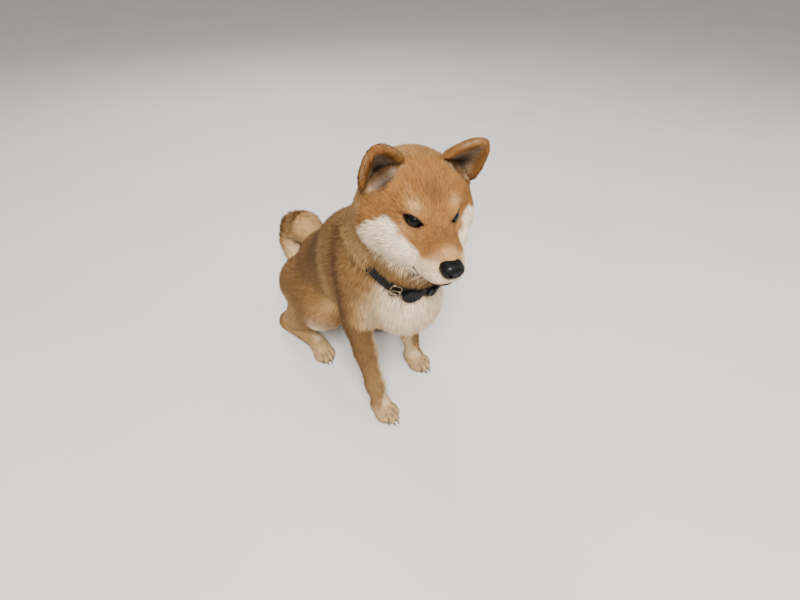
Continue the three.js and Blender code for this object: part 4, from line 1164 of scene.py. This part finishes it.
def grow_tufts(name, region, layers, seed, clump=0.3, stray=0.13, ruffled=(-0.35, 0.36)):
    """One piece of coat: tufts rooted in the skin where region is above nought."""
    rng = np.random.default_rng(seed)
    tris, uv = skin_triangles()
    outer = BODY["outer"]
    a, b, c = (outer[tris[:, i]] for i in range(3))
    area = np.linalg.norm(np.cross(b - a, c - a), axis=1) / 2
    wanted = region[tris].mean(1)
    size = BODY["long"][tris].mean(1) * BODY["wide"][tris].mean(1)
    layers = layers * bpy.context.scene.shiba_sizes.coat_density
    per = area * np.where(wanted > 0.02, wanted, 0) * layers / (size * TUFT_COVER)
    order = np.argsort(zigzag((a + b + c) / 3), kind="stable")
    total = np.cumsum(per[order])
    n = int(total[-1])
    pick = order[np.searchsorted(total, (np.arange(n) + rng.random(n)) * (total[-1] / n))]
    w = rng.random((n, 2))
    flip = w.sum(1) > 1
    w[flip] = 1 - w[flip]
    w = np.stack([1 - w.sum(1), w[:, 0], w[:, 1]], 1)
    at = tris[pick]

    def take(value):
        return (value[at] * (w[..., None] if value.ndim == 2 else w)).sum(1)

    root, over = take(BODY["skin"]), take(outer)
    n0, l0 = unit(take(BODY["normal"])), unit(take(BODY["way"]))
    long = take(BODY["long"]) * rng.uniform(0.75, 1.2, n)
    wide = take(BODY["wide"]) * rng.uniform(0.7, 1.25, n)
    deep = np.linalg.norm(over - root, axis=1)

    tree = BODY["tree"]
    l0 = unit(l0 + rng.normal(0, stray, (n, 3)))
    l0 = unit(l0 - n0 * (l0 * n0).sum(1)[:, None])
    lines, ups, ways = [root], [n0], [l0]
    q, way = over, l0
    guard = rng.random(n) < GUARD_SHARE
    long, wide = long * (1 + 0.25 * guard), wide * (1 - 0.45 * guard)
    top = (rng.uniform(*ruffled, n) + take(BODY["ruffle"]) * rng.random(n)) * np.minimum(deep, 8)
    top += 0.9 * guard * np.minimum(deep / 6, 1)
    for k in range(1, TUFT_RINGS + 1):
        q = q + way * (long / TUFT_RINGS)[:, None]
        near = np.fromiter((tree.find(v)[1] for v in q), np.int64, n)
        nn = BODY["normal"][near]
        q = q - nn * ((q - outer[near]) * nn).sum(1)[:, None]
        way = unit(0.55 * unit(BODY["way"][near]) + 0.45 * way)
        t = k / TUFT_RINGS
        lines.append(q + nn * (top * t - deep * (1 - t) ** 1.5)[:, None])
        ups.append(nn)
        ways.append(way)
    lines, ups, ways = (np.stack(v, 1) for v in (lines, ups, ways))
    lead = rng.choice(n, max(n // TUFTS_TO_A_CLUMP, 1), replace=False)
    heads = KDTree(len(lead))
    for i in lead:
        heads.insert(lines[i, 0], int(i))
    heads.balance()
    own = np.fromiter((heads.find(v)[1] for v in lines[:, 0]), np.int64, n)
    apart = np.linalg.norm(lines[own, 0] - lines[:, 0], axis=1)
    pull = clump * bell(apart, long * 0.5)
    for k in range(1, TUFT_RINGS + 1):
        lines[:, k] += (lines[own, k] - lines[:, k]) * (pull * (k / TUFT_RINGS) ** 1.3)[:, None]
    lines[..., 2] = np.maximum(lines[..., 2], LOWEST_ROOT)
    colour, tips = take(BODY["colour"]), take(BODY["tips"])
    tint = rng.normal(1, 0.07, n)[own] * rng.normal(1, 0.12, n)
    place_uv = (uv[pick] * w[..., None]).sum(1)
    return weave(name, (lines, ups, ways, wide), (colour, tips, tint), place_uv, rng)


def weave(name, shape, look, place_uv, rng):
    """Roof-shaped tufts, each from a line of places, joined in one mesh."""
    lines, ups, ways, wide = shape
    colour, tips, tint = look
    n, points, _ = lines.shape
    rings = points - 1
    profile = np.interp(np.arange(rings) / rings, (0, 0.4, 1), (0.75, 1.0, 0.3))
    across = unit(np.cross(ways, ups))
    co = np.empty((n, rings * 3 + 1, 3))
    lit = np.empty_like(co)
    sway = rng.normal(0, 0.2, (n, 2))
    for k in range(rings):
        w = (wide * profile[k] / 2)[:, None]
        for j in (-1, 0, 1):
            ridge = TUFT_RIDGE if j == 0 else 0
            tilt = across[:, k] * (0.6 * j + sway[:, :1]) + ways[:, k] * sway[:, 1:]
            co[:, 3 * k + 1 + j] = lines[:, k] + across[:, k] * w * j + ups[:, k] * w * ridge
            lit[:, 3 * k + 1 + j] = ups[:, k] + tilt
    co[:, -1] = lines[:, -1]
    lit[:, -1] = ups[:, -1] + 0.25 * ways[:, -1]
    co[..., 2] = np.maximum(co[..., 2], LOWEST_TUFT)
    one = []
    for k in range(rings - 1):
        b, u = 3 * k, 3 * k + 3
        one += [(b, b + 1, u + 1), (b, u + 1, u), (b + 1, b + 2, u + 2), (b + 1, u + 2, u + 1)]
    b = 3 * (rings - 1)
    one += [(b, b + 1, b + 3), (b + 1, b + 2, b + 3)]
    one = np.array(one)
    per = rings * 3 + 1
    faces = (one[None] + (np.arange(n) * per)[:, None, None]).reshape(-1, 3)
    mesh = bpy.data.meshes.new(name)
    mesh.vertices.add(n * per)
    mesh.loops.add(len(faces) * 3)
    mesh.polygons.add(len(faces))
    mesh.vertices.foreach_set("co", row(co.reshape(-1, 3)).astype(np.float32).ravel())
    mesh.loops.foreach_set("vertex_index", faces.astype(np.int32).ravel())
    mesh.polygons.foreach_set("loop_start", np.arange(0, len(faces) * 3, 3, dtype=np.int32))
    mesh.update(calc_edges=True)
    mesh.shade_smooth()
    mesh.normals_split_custom_set_from_vertices(unit(lit).reshape(-1, 3).astype(np.float32))
    along = np.append(np.repeat(np.arange(rings) / rings, 3), 1.0)
    # painted shade towards each tuft's root and painted light at its tip
    bright = np.interp(along, (0, 0.5, 1), ROOT_TO_TIP)
    hue = rng.normal(0, 0.03, (n, 1)) * np.array([1, 0, -1])
    tuft = colour[:, None] * (tint[:, None] * bright[None])[..., None] * (1 + hue[:, None])
    dark = (tips * (rng.random(n) < tips * 1.3))[:, None] * ramp(along, 0.3, 0.9)[None] * 0.8
    tuft = tuft * (1 - dark[..., None]) + shade("sable") * dark[..., None]
    full = np.concatenate([np.clip(tuft, 0, 1), np.ones((n, per, 1))], 2)
    layer = mesh.color_attributes.new("coat", "FLOAT_COLOR", "POINT")
    layer.data.foreach_set("color", full.astype(np.float32).ravel())
    beside = np.append(np.tile((-1, 0, 1), rings), 0) * PATCH / 2
    patch = place_uv[:, None] + np.stack([beside, along * PATCH - PATCH / 2], 1)[None]
    patch = patch.reshape(-1, 2)[faces.ravel()]
    mesh.uv_layers.new(name="OFBake").uv.foreach_set("vector", patch.astype(np.float32).ravel())
    mesh.materials.append(hair("hair", 1500, (0.3, 0.0002)))
    print(name, n, len(faces))
    return add_piece(name, mesh)


def coat_ground():
    """Each group's share of the skin, and where no tuft is rooted: eyes, nose, lips and soles."""
    h, p, n = BODY["h"], BODY["outer"], BODY["normal"]
    keep = 1 - ramp(off_mouth(h), 1.6, 1.1)
    for _, e, near in by_eyes(h, 14):
        keep *= 1 - ramp(almond(e), 2.0, 1.3) * near
    r = np.linalg.norm((h - NOSE_AT) / NOSE_SIZE, axis=1)
    keep *= 1 - ((r < 1.13) & (h[:, 1] < -50))
    keep *= 1 - (n[:, 2] < -0.6) * (p[:, 2] < 4)
    keep *= 1 - ramp(toe_gap(p), 0.5, 0.8)
    g = dict(zip(GROUPS, BODY["share"].T))
    off = np.abs((p - COLLAR_MIDDLE) @ COLLAR_NORMAL)
    keep *= 1 - (off < STRAP_WIDE / 2 - 1) * (g["neck"] + g["torso"] > 0.5)
    return g, keep


# Each piece of coat: its groups, the stretch of the body it covers from front to back, layers, seed and habits
COATS = (
    ("coat_muzzle", ("head", "jaw"), (None, -36), 2.5, 11, {"clump": 0.2}),
    ("coat_face", ("head", "jaw"), (-36, 22), 2.6, 23, {"clump": 0.2}),
    ("coat_crown", ("head", "jaw"), (22, None), 4.2, 21, {"clump": 0.25, "ruffled": (-0.35, 0.2)}),
    ("coat_ears", ("ear",), (None, None), 5.2, 12, {"stray": 0.3, "ruffled": (-0.2, 1.2)}),
    ("coat_neck", ("neck",), (None, None), 6.5, 13, {}),
    ("coat_breast", ("torso",), (None, 12), 6.4, 14, {}),
    ("coat_shoulders", ("torso",), (12, 70), 5.6, 24, {}),
    ("coat_ribs", ("torso",), (70, 165), 5.5, 22, {}),
    ("coat_back", ("torso",), (165, None), 5, 15, {}),
    ("coat_haunches", ("haunch",), (None, None), 5.5, 16, {}),
    ("coat_forelegs", ("foreleg",), (None, None), 3.8, 17, {"clump": 0.2}),
    ("coat_hindlegs", ("hindleg",), (None, None), 3.4, 18, {"clump": 0.2}),
    ("coat_feet", ("forepaw", "hindpaw"), (None, None), 2.4, 19, {"clump": 0.15}),
    ("coat_tail", ("tail",), (None, None), 9.5, 20, {"stray": 0.24, "ruffled": (-0.35, 0.9)}),
)


class SHIBA_OT_coat(bpy.types.Operator):
    """Tufts over the skin, short on the face and feet and long on the neck, trunk and tail"""

    bl_idname = "shiba.coat"
    bl_label = "Coat"

    def execute(self, context):
        g, keep = coat_ground()
        for name, groups, (first, last), layers, seed, habits in COATS:
            y = BODY["h" if "head" in groups else "outer"][:, 1]
            on = (sum(g[k] for k in groups) > 0.5) * keep
            if first is not None:
                on = on * (y >= first)
            if last is not None:
                on = on * (y < last)
            grow_tufts(name, on, layers, seed, **habits)
        return {"FINISHED"}


def closed_mesh(name, shape, stuff):
    """Turns a bmesh into a smooth mesh with its faces outwards."""
    bmesh.ops.remove_doubles(shape, verts=shape.verts, dist=1e-7)
    bmesh.ops.recalc_face_normals(shape, faces=shape.faces)
    mesh = made(name, shape)
    mesh.materials.append(stuff)
    mesh.shade_smooth()
    return mesh


def reshape(shape, change):
    """Moves a bmesh's vertices to where a function of their places puts them."""
    co = change(np.array([v.co for v in shape.verts]))
    for vert, place in zip(shape.verts, co):
        vert.co = place
    return co


def tube(points, radii, closed=False, roundness=3):
    """A round tube through places of the drawing."""
    line = bpy.data.curves.new("line", "CURVE")
    line.dimensions = "3D"
    line.bevel_depth = MM
    line.bevel_resolution = roundness
    line.use_fill_caps = True
    run = line.splines.new("POLY")
    run.points.add(len(points) - 1)
    at = np.concatenate([row(points), np.ones((len(points), 1))], 1)
    run.points.foreach_set("co", at.ravel())
    run.points.foreach_set("radius", np.broadcast_to(radii, len(points)).astype(float))
    run.use_cyclic_u = closed
    holder = bpy.data.objects.new("line", line)
    mesh = bpy.data.meshes.new_from_object(holder)
    bpy.data.objects.remove(holder)
    bpy.data.curves.remove(line)
    return mesh


class SHIBA_OT_eyes(bpy.types.Operator):
    """Eyeballs with pupil and iris, and the dark edges of their lids"""

    bl_idname = "shiba.eyes"
    bl_label = "Eyes"

    def execute(self, context):
        iris = shade("iris")
        pupil = (0.24, (0.001, 0.001, 0.001))
        rings = (pupil, (0.28, iris * 0.7), (0.44, iris), (0.52, iris * 0.2), (0.7, iris * 0.6))
        wet = finish(
            "wet_eye", 0.3, ("off_axis", rings), 0.35, 1400,
            Specular_IOR_Level=0.1, Coat_Weight=0.6, Coat_Roughness=0.03, Coat_IOR=1.24,
        )
        rim = finish("rim_skin", 0.4, shade("dark") * 0.45, 0.3, 1600, (0.3, 0.0002), Specular_IOR_Level=0.15)
        for s, side in ((1, "left"), (-1, "right")):
            centre, _, up, out = eye_axes(s)
            gaze = unit(out + (0, -0.45, 0.02))
            across = unit(np.cross(up, gaze))
            turn = np.stack([across, np.cross(gaze, across), gaze])
            globe = bmesh.new()
            bmesh.ops.create_uvsphere(globe, u_segments=48, v_segments=40, radius=1)
            co = np.array([v.co for v in globe.verts])
            off = np.degrees(np.arccos(np.clip(co[:, 2], -1, 1)))
            bulge = EYE_RADIUS * (1 + 0.05 * ramp(off, 42, 24))
            reshape(globe, lambda q: row(from_head(centre - EYE_DEEP * out + (q * bulge[:, None]) @ turn)))
            mesh = made("eyeball_" + side, globe)
            layer = mesh.attributes.new("off_axis", "FLOAT", "POINT")
            layer.data.foreach_set("value", (off / 90).astype(np.float32))
            mesh.materials.append(wet)
            mesh.shade_smooth()
            add_piece("eyeball_" + side, mesh, ("eye_" + side,))
            self.rims(s, side, rim)
        return {"FINISHED"}

    def rims(self, s, side, stuff):
        u = np.cos(np.linspace(0, 2 * np.pi, 56, endpoint=False)) * (EYE_HALF + 0.2)
        upper = np.arange(56) < 28
        v = np.where(upper, lid_edge(u, True), lid_edge(u, False))
        w = lid_out(u) + 0.15
        points = from_head(from_eye(np.stack([u, v, w], 1), s))
        thick = np.where(upper, 1.15, 0.85) * (1 - 0.45 * (np.abs(u) / EYE_HALF) ** 4)
        mesh = tube(points, thick, closed=True)
        mesh.name = "lid_rim_" + side
        mesh.materials.append(stuff)
        mesh.shade_smooth()
        add_piece("lid_rim_" + side, mesh)


class SHIBA_OT_nose(bpy.types.Operator):
    """Leather of the nose with nostrils, their slits and the cleft"""

    bl_idname = "shiba.nose"
    bl_label = "Nose"

    def execute(self, context):
        pad = bmesh.new()
        bmesh.ops.create_icosphere(pad, subdivisions=6, radius=1)
        depth = {}

        def sculpt(q):
            q = unit(q)
            q = q / (np.abs(q) ** 2.6).sum(1, keepdims=True) ** (1 / 2.6)
            p = q * (NOSE_SIZE + (0.5, 0.2, 0.2))
            x, z = np.abs(p[:, 0]), p[:, 2]
            front = ramp(-q[:, 1], 0.1, 0.6)
            p[:, 0] *= 1 - 0.26 * ramp(z, 1, -12) - 0.1 * ramp(z, 4, 12)
            wing = 0.9 * np.exp(-(((x - 10.5) / 3.2) ** 2) - ((z - 2.5) / 3.4) ** 2)
            hole = ramp(np.hypot((x - 6.3) / 3.3, (z - 0.2 - 0.16 * (x - 6)) / 2.7), 1.15, 0.55) * front
            slit = off_line(np.stack([x, z], 1), ((8.0, -0.4), (11.0, -1.6), (14.4, -2.6)))
            slit = bell(slit, 0.85) * ramp(-q[:, 1], -0.3, 0.0)
            cleft = bell(x, 0.9) * ramp(z, 5, -3) * front
            dip = 5.5 * hole + 1.7 * slit * (1 - hole) + 1.3 * cleft - wing
            depth["hole"] = np.clip(hole + 0.6 * slit + 0.4 * cleft, 0, 1)
            way = unit(np.stack([p[:, 0] * 0.25 * (1 - hole), -np.ones(len(p)) * (0.35 + front), z * 0], 1))
            p = p - way * dip[:, None]
            tilt = np.array(Matrix.Rotation(math.radians(12), 3, "X"))
            return row(from_head(NOSE_AT + p @ tilt.T))

        reshape(pad, sculpt)
        mesh = made("nose_leather", pad)
        layer = mesh.attributes.new("hollow", "FLOAT", "POINT")
        layer.data.foreach_set("value", depth["hole"].astype(np.float32))
        # painted shade deep in the nostrils, their slits and the cleft
        tints = ((0.1, shade("nose")), (0.8, shade("nose") * 0.12))
        stuff = finish(
            "nose_leather", 0.45, ("hollow", tints), 0.3, 500, (0.55, 0.0006), cells=950,
            Specular_IOR_Level=0.1, Coat_Weight=0.35, Coat_Roughness=0.2, Coat_IOR=1.27,
        )
        mesh.materials.append(stuff)
        mesh.shade_smooth()
        add_piece("nose_leather", mesh, ("nose",))
        return {"FINISHED"}


class SHIBA_OT_claws(bpy.types.Operator):
    """A curved claw on each toe"""

    bl_idname = "shiba.claws"
    bl_label = "Claws"

    def execute(self, context):
        every = bmesh.new()
        for at, turn in PAWS:
            spin = np.array(Matrix.Rotation(math.radians(turn), 3, "Z"))
            for x, y, toe_turn in TOES:
                aim = spin @ np.array(Matrix.Rotation(math.radians(toe_turn), 3, "Z")) @ (0, -1, 0)
                side = np.cross(aim, (0, 0, 1))
                root = at + spin @ (x, y, 7.6) + aim * 10.5
                claw = bmesh.new()
                bmesh.ops.create_cone(claw, cap_ends=True, segments=12, radius1=2.3, radius2=0.5, depth=1)
                long_edges = [e for e in claw.edges if abs(e.verts[0].co.z - e.verts[1].co.z) > 0.5]
                bmesh.ops.subdivide_edges(claw, edges=long_edges, cuts=5)

                def curve(q):
                    t = q[:, 2:] + 0.5
                    bent = root + aim * 9.5 * t + side * q[:, :1] * 0.8 - np.array((0, 0, 1)) * 3.6 * t**2
                    bent = bent + np.array((0, 0, 1)) * q[:, 1:2]
                    bent[:, 2] = np.maximum(bent[:, 2], 0.4)
                    return row(bent)

                reshape(claw, curve)
                absorb(every, made("claw", claw))
        stuff = finish(
            "horn", 0.4, shade("claw"), 0.45, 700, (0.3, 0.0002), stretch=(1, 0.2, 1), Specular_IOR_Level=0.35,
        )
        add_piece("claws", closed_mesh("claws", every, stuff))
        return {"FINISHED"}


class SHIBA_OT_whiskers(bpy.types.Operator):
    """Whiskers in rows on both sides of the muzzle"""

    bl_idname = "shiba.whiskers"
    bl_label = "Whiskers"

    def execute(self, context):
        rng = np.random.default_rng(31)
        sizes = context.scene.shiba_sizes
        every = bmesh.new()
        t = np.linspace(0, 1, 9)[:, None]
        for s in (1, -1):
            for i in range(sizes.whiskers):
                place, level = (i // 3) / 3.4, i % 3
                start = np.array((0, -56 + 17 * place + rng.uniform(-1, 1), -32 - 5.5 * level))
                way = np.array((s, 0, -0.15))
                low, high = 0.0, 40.0
                for _ in range(18):
                    middle = (low + high) / 2
                    inside = head_field((start + way * middle)[None])[0] < 0
                    low, high = (middle, high) if inside else (low, middle)
                root = start + way * (low - 0.8)
                aim = unit((s * 0.9, -0.25 + 0.75 * place, 0.12 - 0.22 * level) + rng.normal(0, 0.06, 3))
                length = sizes.whisker_length / MM * rng.uniform(0.6, 1)
                line = root + aim * length * t + np.array((0, 0.25, -1)) * length * 0.22 * t**2
                absorb(every, tube(from_head(line), 0.13 - 0.1 * t.ravel(), roundness=1))
        stuff = finish("whisker", 0.4, shade("cream"), 0.2, 300)
        add_piece("whiskers", closed_mesh("whiskers", every, stuff))
        return {"FINISHED"}


def leather_band(start, end, base, thick, wide, around, taper=None):
    """A strap of rounded section along the collar, from one angle to another."""
    band = bmesh.new()
    bmesh.ops.create_grid(band, x_segments=around, y_segments=36, size=1)

    def bend(q):
        t = (q[:, 0] + 1) / 2
        a = q[:, 1] * np.pi
        c, s = np.cos(a), np.sin(a)
        out = np.sign(c) * np.abs(c) ** 0.45
        up = np.sign(s) * np.abs(s) ** 0.45
        narrow, thin = taper(t) if taper else (1.0, 1.0)
        lift = 0.35 * (1 - up**2) - 0.3 * bell(np.abs(up) - 0.68, 0.06)
        height = base + thick / 2 + (out * thick / 2 + lift * (out > 0.5)) * thin
        return row(collar_point(start + (end - start) * t, height, up * wide / 2 * narrow))

    reshape(band, bend)
    return band


class SHIBA_OT_collar(bpy.types.Operator):
    """Stitched leather strap, its metal ring, an oval tag and the free end in its keeper"""

    bl_idname = "shiba.collar"
    bl_label = "Collar"

    def execute(self, context):
        leather = finish(
            "leather", 0.5, shade("leather"), 0.3, 90, (0.35, 0.0003), cells=1100, Specular_IOR_Level=0.14,
        )
        strap = leather_band(0, 360, 0, STRAP_THICK, STRAP_WIDE, 150)
        add_piece("strap", closed_mesh("strap", strap, leather), ("collar_strap",))

        def to_tip(t):
            end = ramp(t, 1.0, 0.72) ** 0.5
            return 0.04 + 0.96 * end, ramp(t, 0.0, 0.04) * ramp(t, 1.0, 0.96)

        def rounded(t):
            return 1.0, np.clip(1 - np.abs(2 * t - 1) ** 8, 0, 1)

        tongue = leather_band(-92, -66, STRAP_THICK + 0.4, 2.6, 14, 40, to_tip)
        keeper = leather_band(-86, -80, STRAP_THICK + 0.4, 4.2, 18, 16, rounded)
        absorb(tongue, made("keeper", keeper))
        add_piece("strap_end", closed_mesh("strap_end", tongue, leather), ("collar_end",))
        self.ring()
        self.tag(leather)
        self.stitches()
        return {"FINISHED"}

    def frame_at(self, angle, height):
        out, _ = collar_ray(angle)
        along = unit(np.cross(COLLAR_NORMAL, out[0]))
        at = collar_point(angle, height, 0)[0]
        return lambda q: at + q[:, :1] * along + q[:, 1:2] * COLLAR_NORMAL + q[:, 2:3] * out[0]

    def ring(self):
        put = self.frame_at(BUCKLE_ANGLE, STRAP_THICK + 2.5)
        a = np.linspace(0, 2 * np.pi, 48, endpoint=False)
        c, s = np.cos(a), np.sin(a)
        loop = np.stack([7.8 * np.sign(c) * np.abs(c) ** 0.5, 10.6 * np.sign(s) * np.abs(s) ** 0.5, 0 * a], 1)
        x = np.linspace(-8.4, 8.9, 12)
        prong = np.stack([x, 0 * x, 1.4 * ramp(x, 4, 8.5) - 0.2], 1)
        wrap = np.linspace(0, 2 * np.pi, 20, endpoint=False)
        hinge = np.stack([-7.8 + 2.1 * np.cos(wrap), 0 * wrap, 2.1 * np.sin(wrap)], 1)
        every = bmesh.new()
        for line, radius, closed in ((loop, 1.35, True), (prong, 1.0, False), (hinge, 0.9, True)):
            absorb(every, tube(put(line), radius, closed))
        metal = finish(
            "metal", 0.28, shade("metal"), 0.15, 900, (0.12, 0.0001), stretch=(1, 1, 0.1), Metallic=1.0,
        )
        add_piece("ring", closed_mesh("ring", every, metal), ("collar_buckle",))

    def tag(self, leather):
        plate = bmesh.new()
        bmesh.ops.create_cone(plate, cap_ends=True, segments=72, radius1=1, radius2=1, depth=1)
        reshape(plate, lambda q: q * (15.8, 12.4, 4.2))
        bmesh.ops.bevel(
            plate, geom=list(plate.edges), offset=1.3, segments=4, profile=0.5, affect="EDGES", material=-1,
        )
        put = self.frame_at(TAG_ANGLE, STRAP_THICK + 2.6)
        reshape(plate, lambda q: row(put(q - (0, 3, 0) - 0.008 * q[:, :1] ** 2 * (0, 0, 1))))
        mesh = closed_mesh("tag", plate, leather)
        add_piece("tag", mesh, ("collar_tag",))

    def stitches(self):
        every = bmesh.new()
        places_of = []
        for up in (-5.5, 5.5):
            for angle in np.arange(0, 360, 3.1):
                at = collar_point([angle, angle + 0.5], STRAP_THICK - 0.05, up)
                out, _ = collar_ray(angle)
                places_of.append((at[0], unit(at[1] - at[0]), out[0]))
        put = self.frame_at(TAG_ANGLE, STRAP_THICK + 4.65)
        for a in np.linspace(0, 2 * np.pi, 26, endpoint=False):
            q = np.array([[12.8 * np.cos(a), 9.6 * np.sin(a) - 3, 0]])
            to = np.array([[12.8 * np.cos(a + 0.05), 9.6 * np.sin(a + 0.05) - 3, 0]])
            out, _ = collar_ray(TAG_ANGLE)
            places_of.append((put(q)[0], unit(put(to) - put(q))[0], out[0]))
        stitch = bmesh.new()
        bmesh.ops.create_uvsphere(stitch, u_segments=8, v_segments=6, radius=1)
        one = np.array([v.co for v in stitch.verts])
        for at, along, out in places_of:
            turn = np.stack([along, np.cross(out, along), out])
            reshape(stitch, lambda q: row(at + (one * (1.15, 0.38, 0.34)) @ turn))
            absorb(every, made("stitch", stitch.copy()))
        stitch.free()
        thread = finish("thread", 0.8, shade("leather") * 5, 0.3, 2500, (0.5, 0.0002))
        add_piece("stitches", closed_mesh("stitches", every, thread))


# The photo's camera, in the drawing's frame, and the lights: place, size and watts
CAMERA_AT, CAMERA_DOWN, CAMERA_TURN = (-341.5, -408.6, 690), 41.2, -40
FOCAL_PIXELS, PICTURE_PIXELS, SENSOR = 430, 800, 36
LIGHTS = (
    ("key", (-0.9, -1.4, 2.3), 1.0, 165),
    ("fill", (1.8, -1.4, 1.4), 2.0, 24),
    ("back", (0.6, 1.8, 2.0), 1.4, 40),
)
FLOOR_HALF = 60


class SHIBA_OT_stage(bpy.types.Operator):
    """Floor, lights and camera"""

    bl_idname = "shiba.stage"
    bl_label = "Stage"

    def execute(self, context):
        scene = context.scene
        sheet = bmesh.new()
        bmesh.ops.create_grid(sheet, x_segments=2, y_segments=2, size=FLOOR_HALF)
        mesh = made("floor", sheet)
        floor = bpy.data.objects.new("floor", mesh)
        scene.collection.objects.link(floor)
        mesh.materials.append(finish("floor", 0.75, (0.62, 0.60, 0.57), 0.02, 3))
        world = bpy.data.worlds.new("studio")
        scene.world = world
        world.use_nodes = True
        sky = world.node_tree.nodes["Background"]
        sky.inputs["Color"].default_value = (1, 0.98, 0.95, 1)
        sky.inputs["Strength"].default_value = 0.5
        for name, at, size, power in LIGHTS:
            lamp = bpy.data.lights.new(name, "AREA")
            lamp.size = size
            lamp.energy = power
            light = bpy.data.objects.new(name, lamp)
            light.location = at
            aim = Vector((0, 0, 0.25)) - Vector(at)
            light.rotation_euler = aim.to_track_quat("-Z", "Y").to_euler()
            scene.collection.objects.link(light)
        view = bpy.data.cameras.new("view")
        view.sensor_width = SENSOR
        view.lens = FOCAL_PIXELS / PICTURE_PIXELS * SENSOR
        view.clip_start = 0.05
        eye = bpy.data.objects.new("view", view)
        eye.location = row(CAMERA_AT)
        eye.rotation_euler = Euler((math.radians(90 - CAMERA_DOWN), 0, math.radians(CAMERA_TURN)))
        scene.collection.objects.link(eye)
        scene.camera = eye
        return {"FINISHED"}


PIECES = (
    SHIBA_OT_skin, SHIBA_OT_eyes, SHIBA_OT_nose, SHIBA_OT_claws, SHIBA_OT_whiskers, SHIBA_OT_collar,
    SHIBA_OT_coat, SHIBA_OT_stage,
)


class SHIBA_PT_panel(bpy.types.Panel):
    """Sizes, colours and pieces of the dog"""

    bl_idname = "SHIBA_PT_panel"
    bl_label = "Sitting shiba inu"
    bl_space_type = "VIEW_3D"
    bl_region_type = "UI"
    bl_category = "Shiba"

    def draw(self, context):
        for group in (context.scene.shiba_sizes, context.scene.shiba_colours):
            box = self.layout.box()
            for name in group.bl_rna.properties.keys():
                if name not in {"rna_type", "name"}:
                    box.prop(group, name)
        for piece in PIECES:
            self.layout.operator(piece.bl_idname)


CLASSES = (SHIBA_PG_colours, SHIBA_PG_sizes, *PIECES, SHIBA_PT_panel)


def register():
    for each in CLASSES:
        bpy.utils.register_class(each)
    bpy.types.Scene.shiba_colours = PointerProperty(type=SHIBA_PG_colours)
    bpy.types.Scene.shiba_sizes = PointerProperty(type=SHIBA_PG_sizes)


def unregister():
    del bpy.types.Scene.shiba_sizes
    del bpy.types.Scene.shiba_colours
    for each in reversed(CLASSES):
        bpy.utils.unregister_class(each)


def main():
    register()
    bpy.ops.shiba.skin()
    bpy.ops.shiba.eyes()
    bpy.ops.shiba.nose()
    bpy.ops.shiba.claws()
    bpy.ops.shiba.whiskers()
    bpy.ops.shiba.collar()
    bpy.ops.shiba.coat()
    bpy.ops.shiba.stage()


if __name__ == "__main__":
    main()
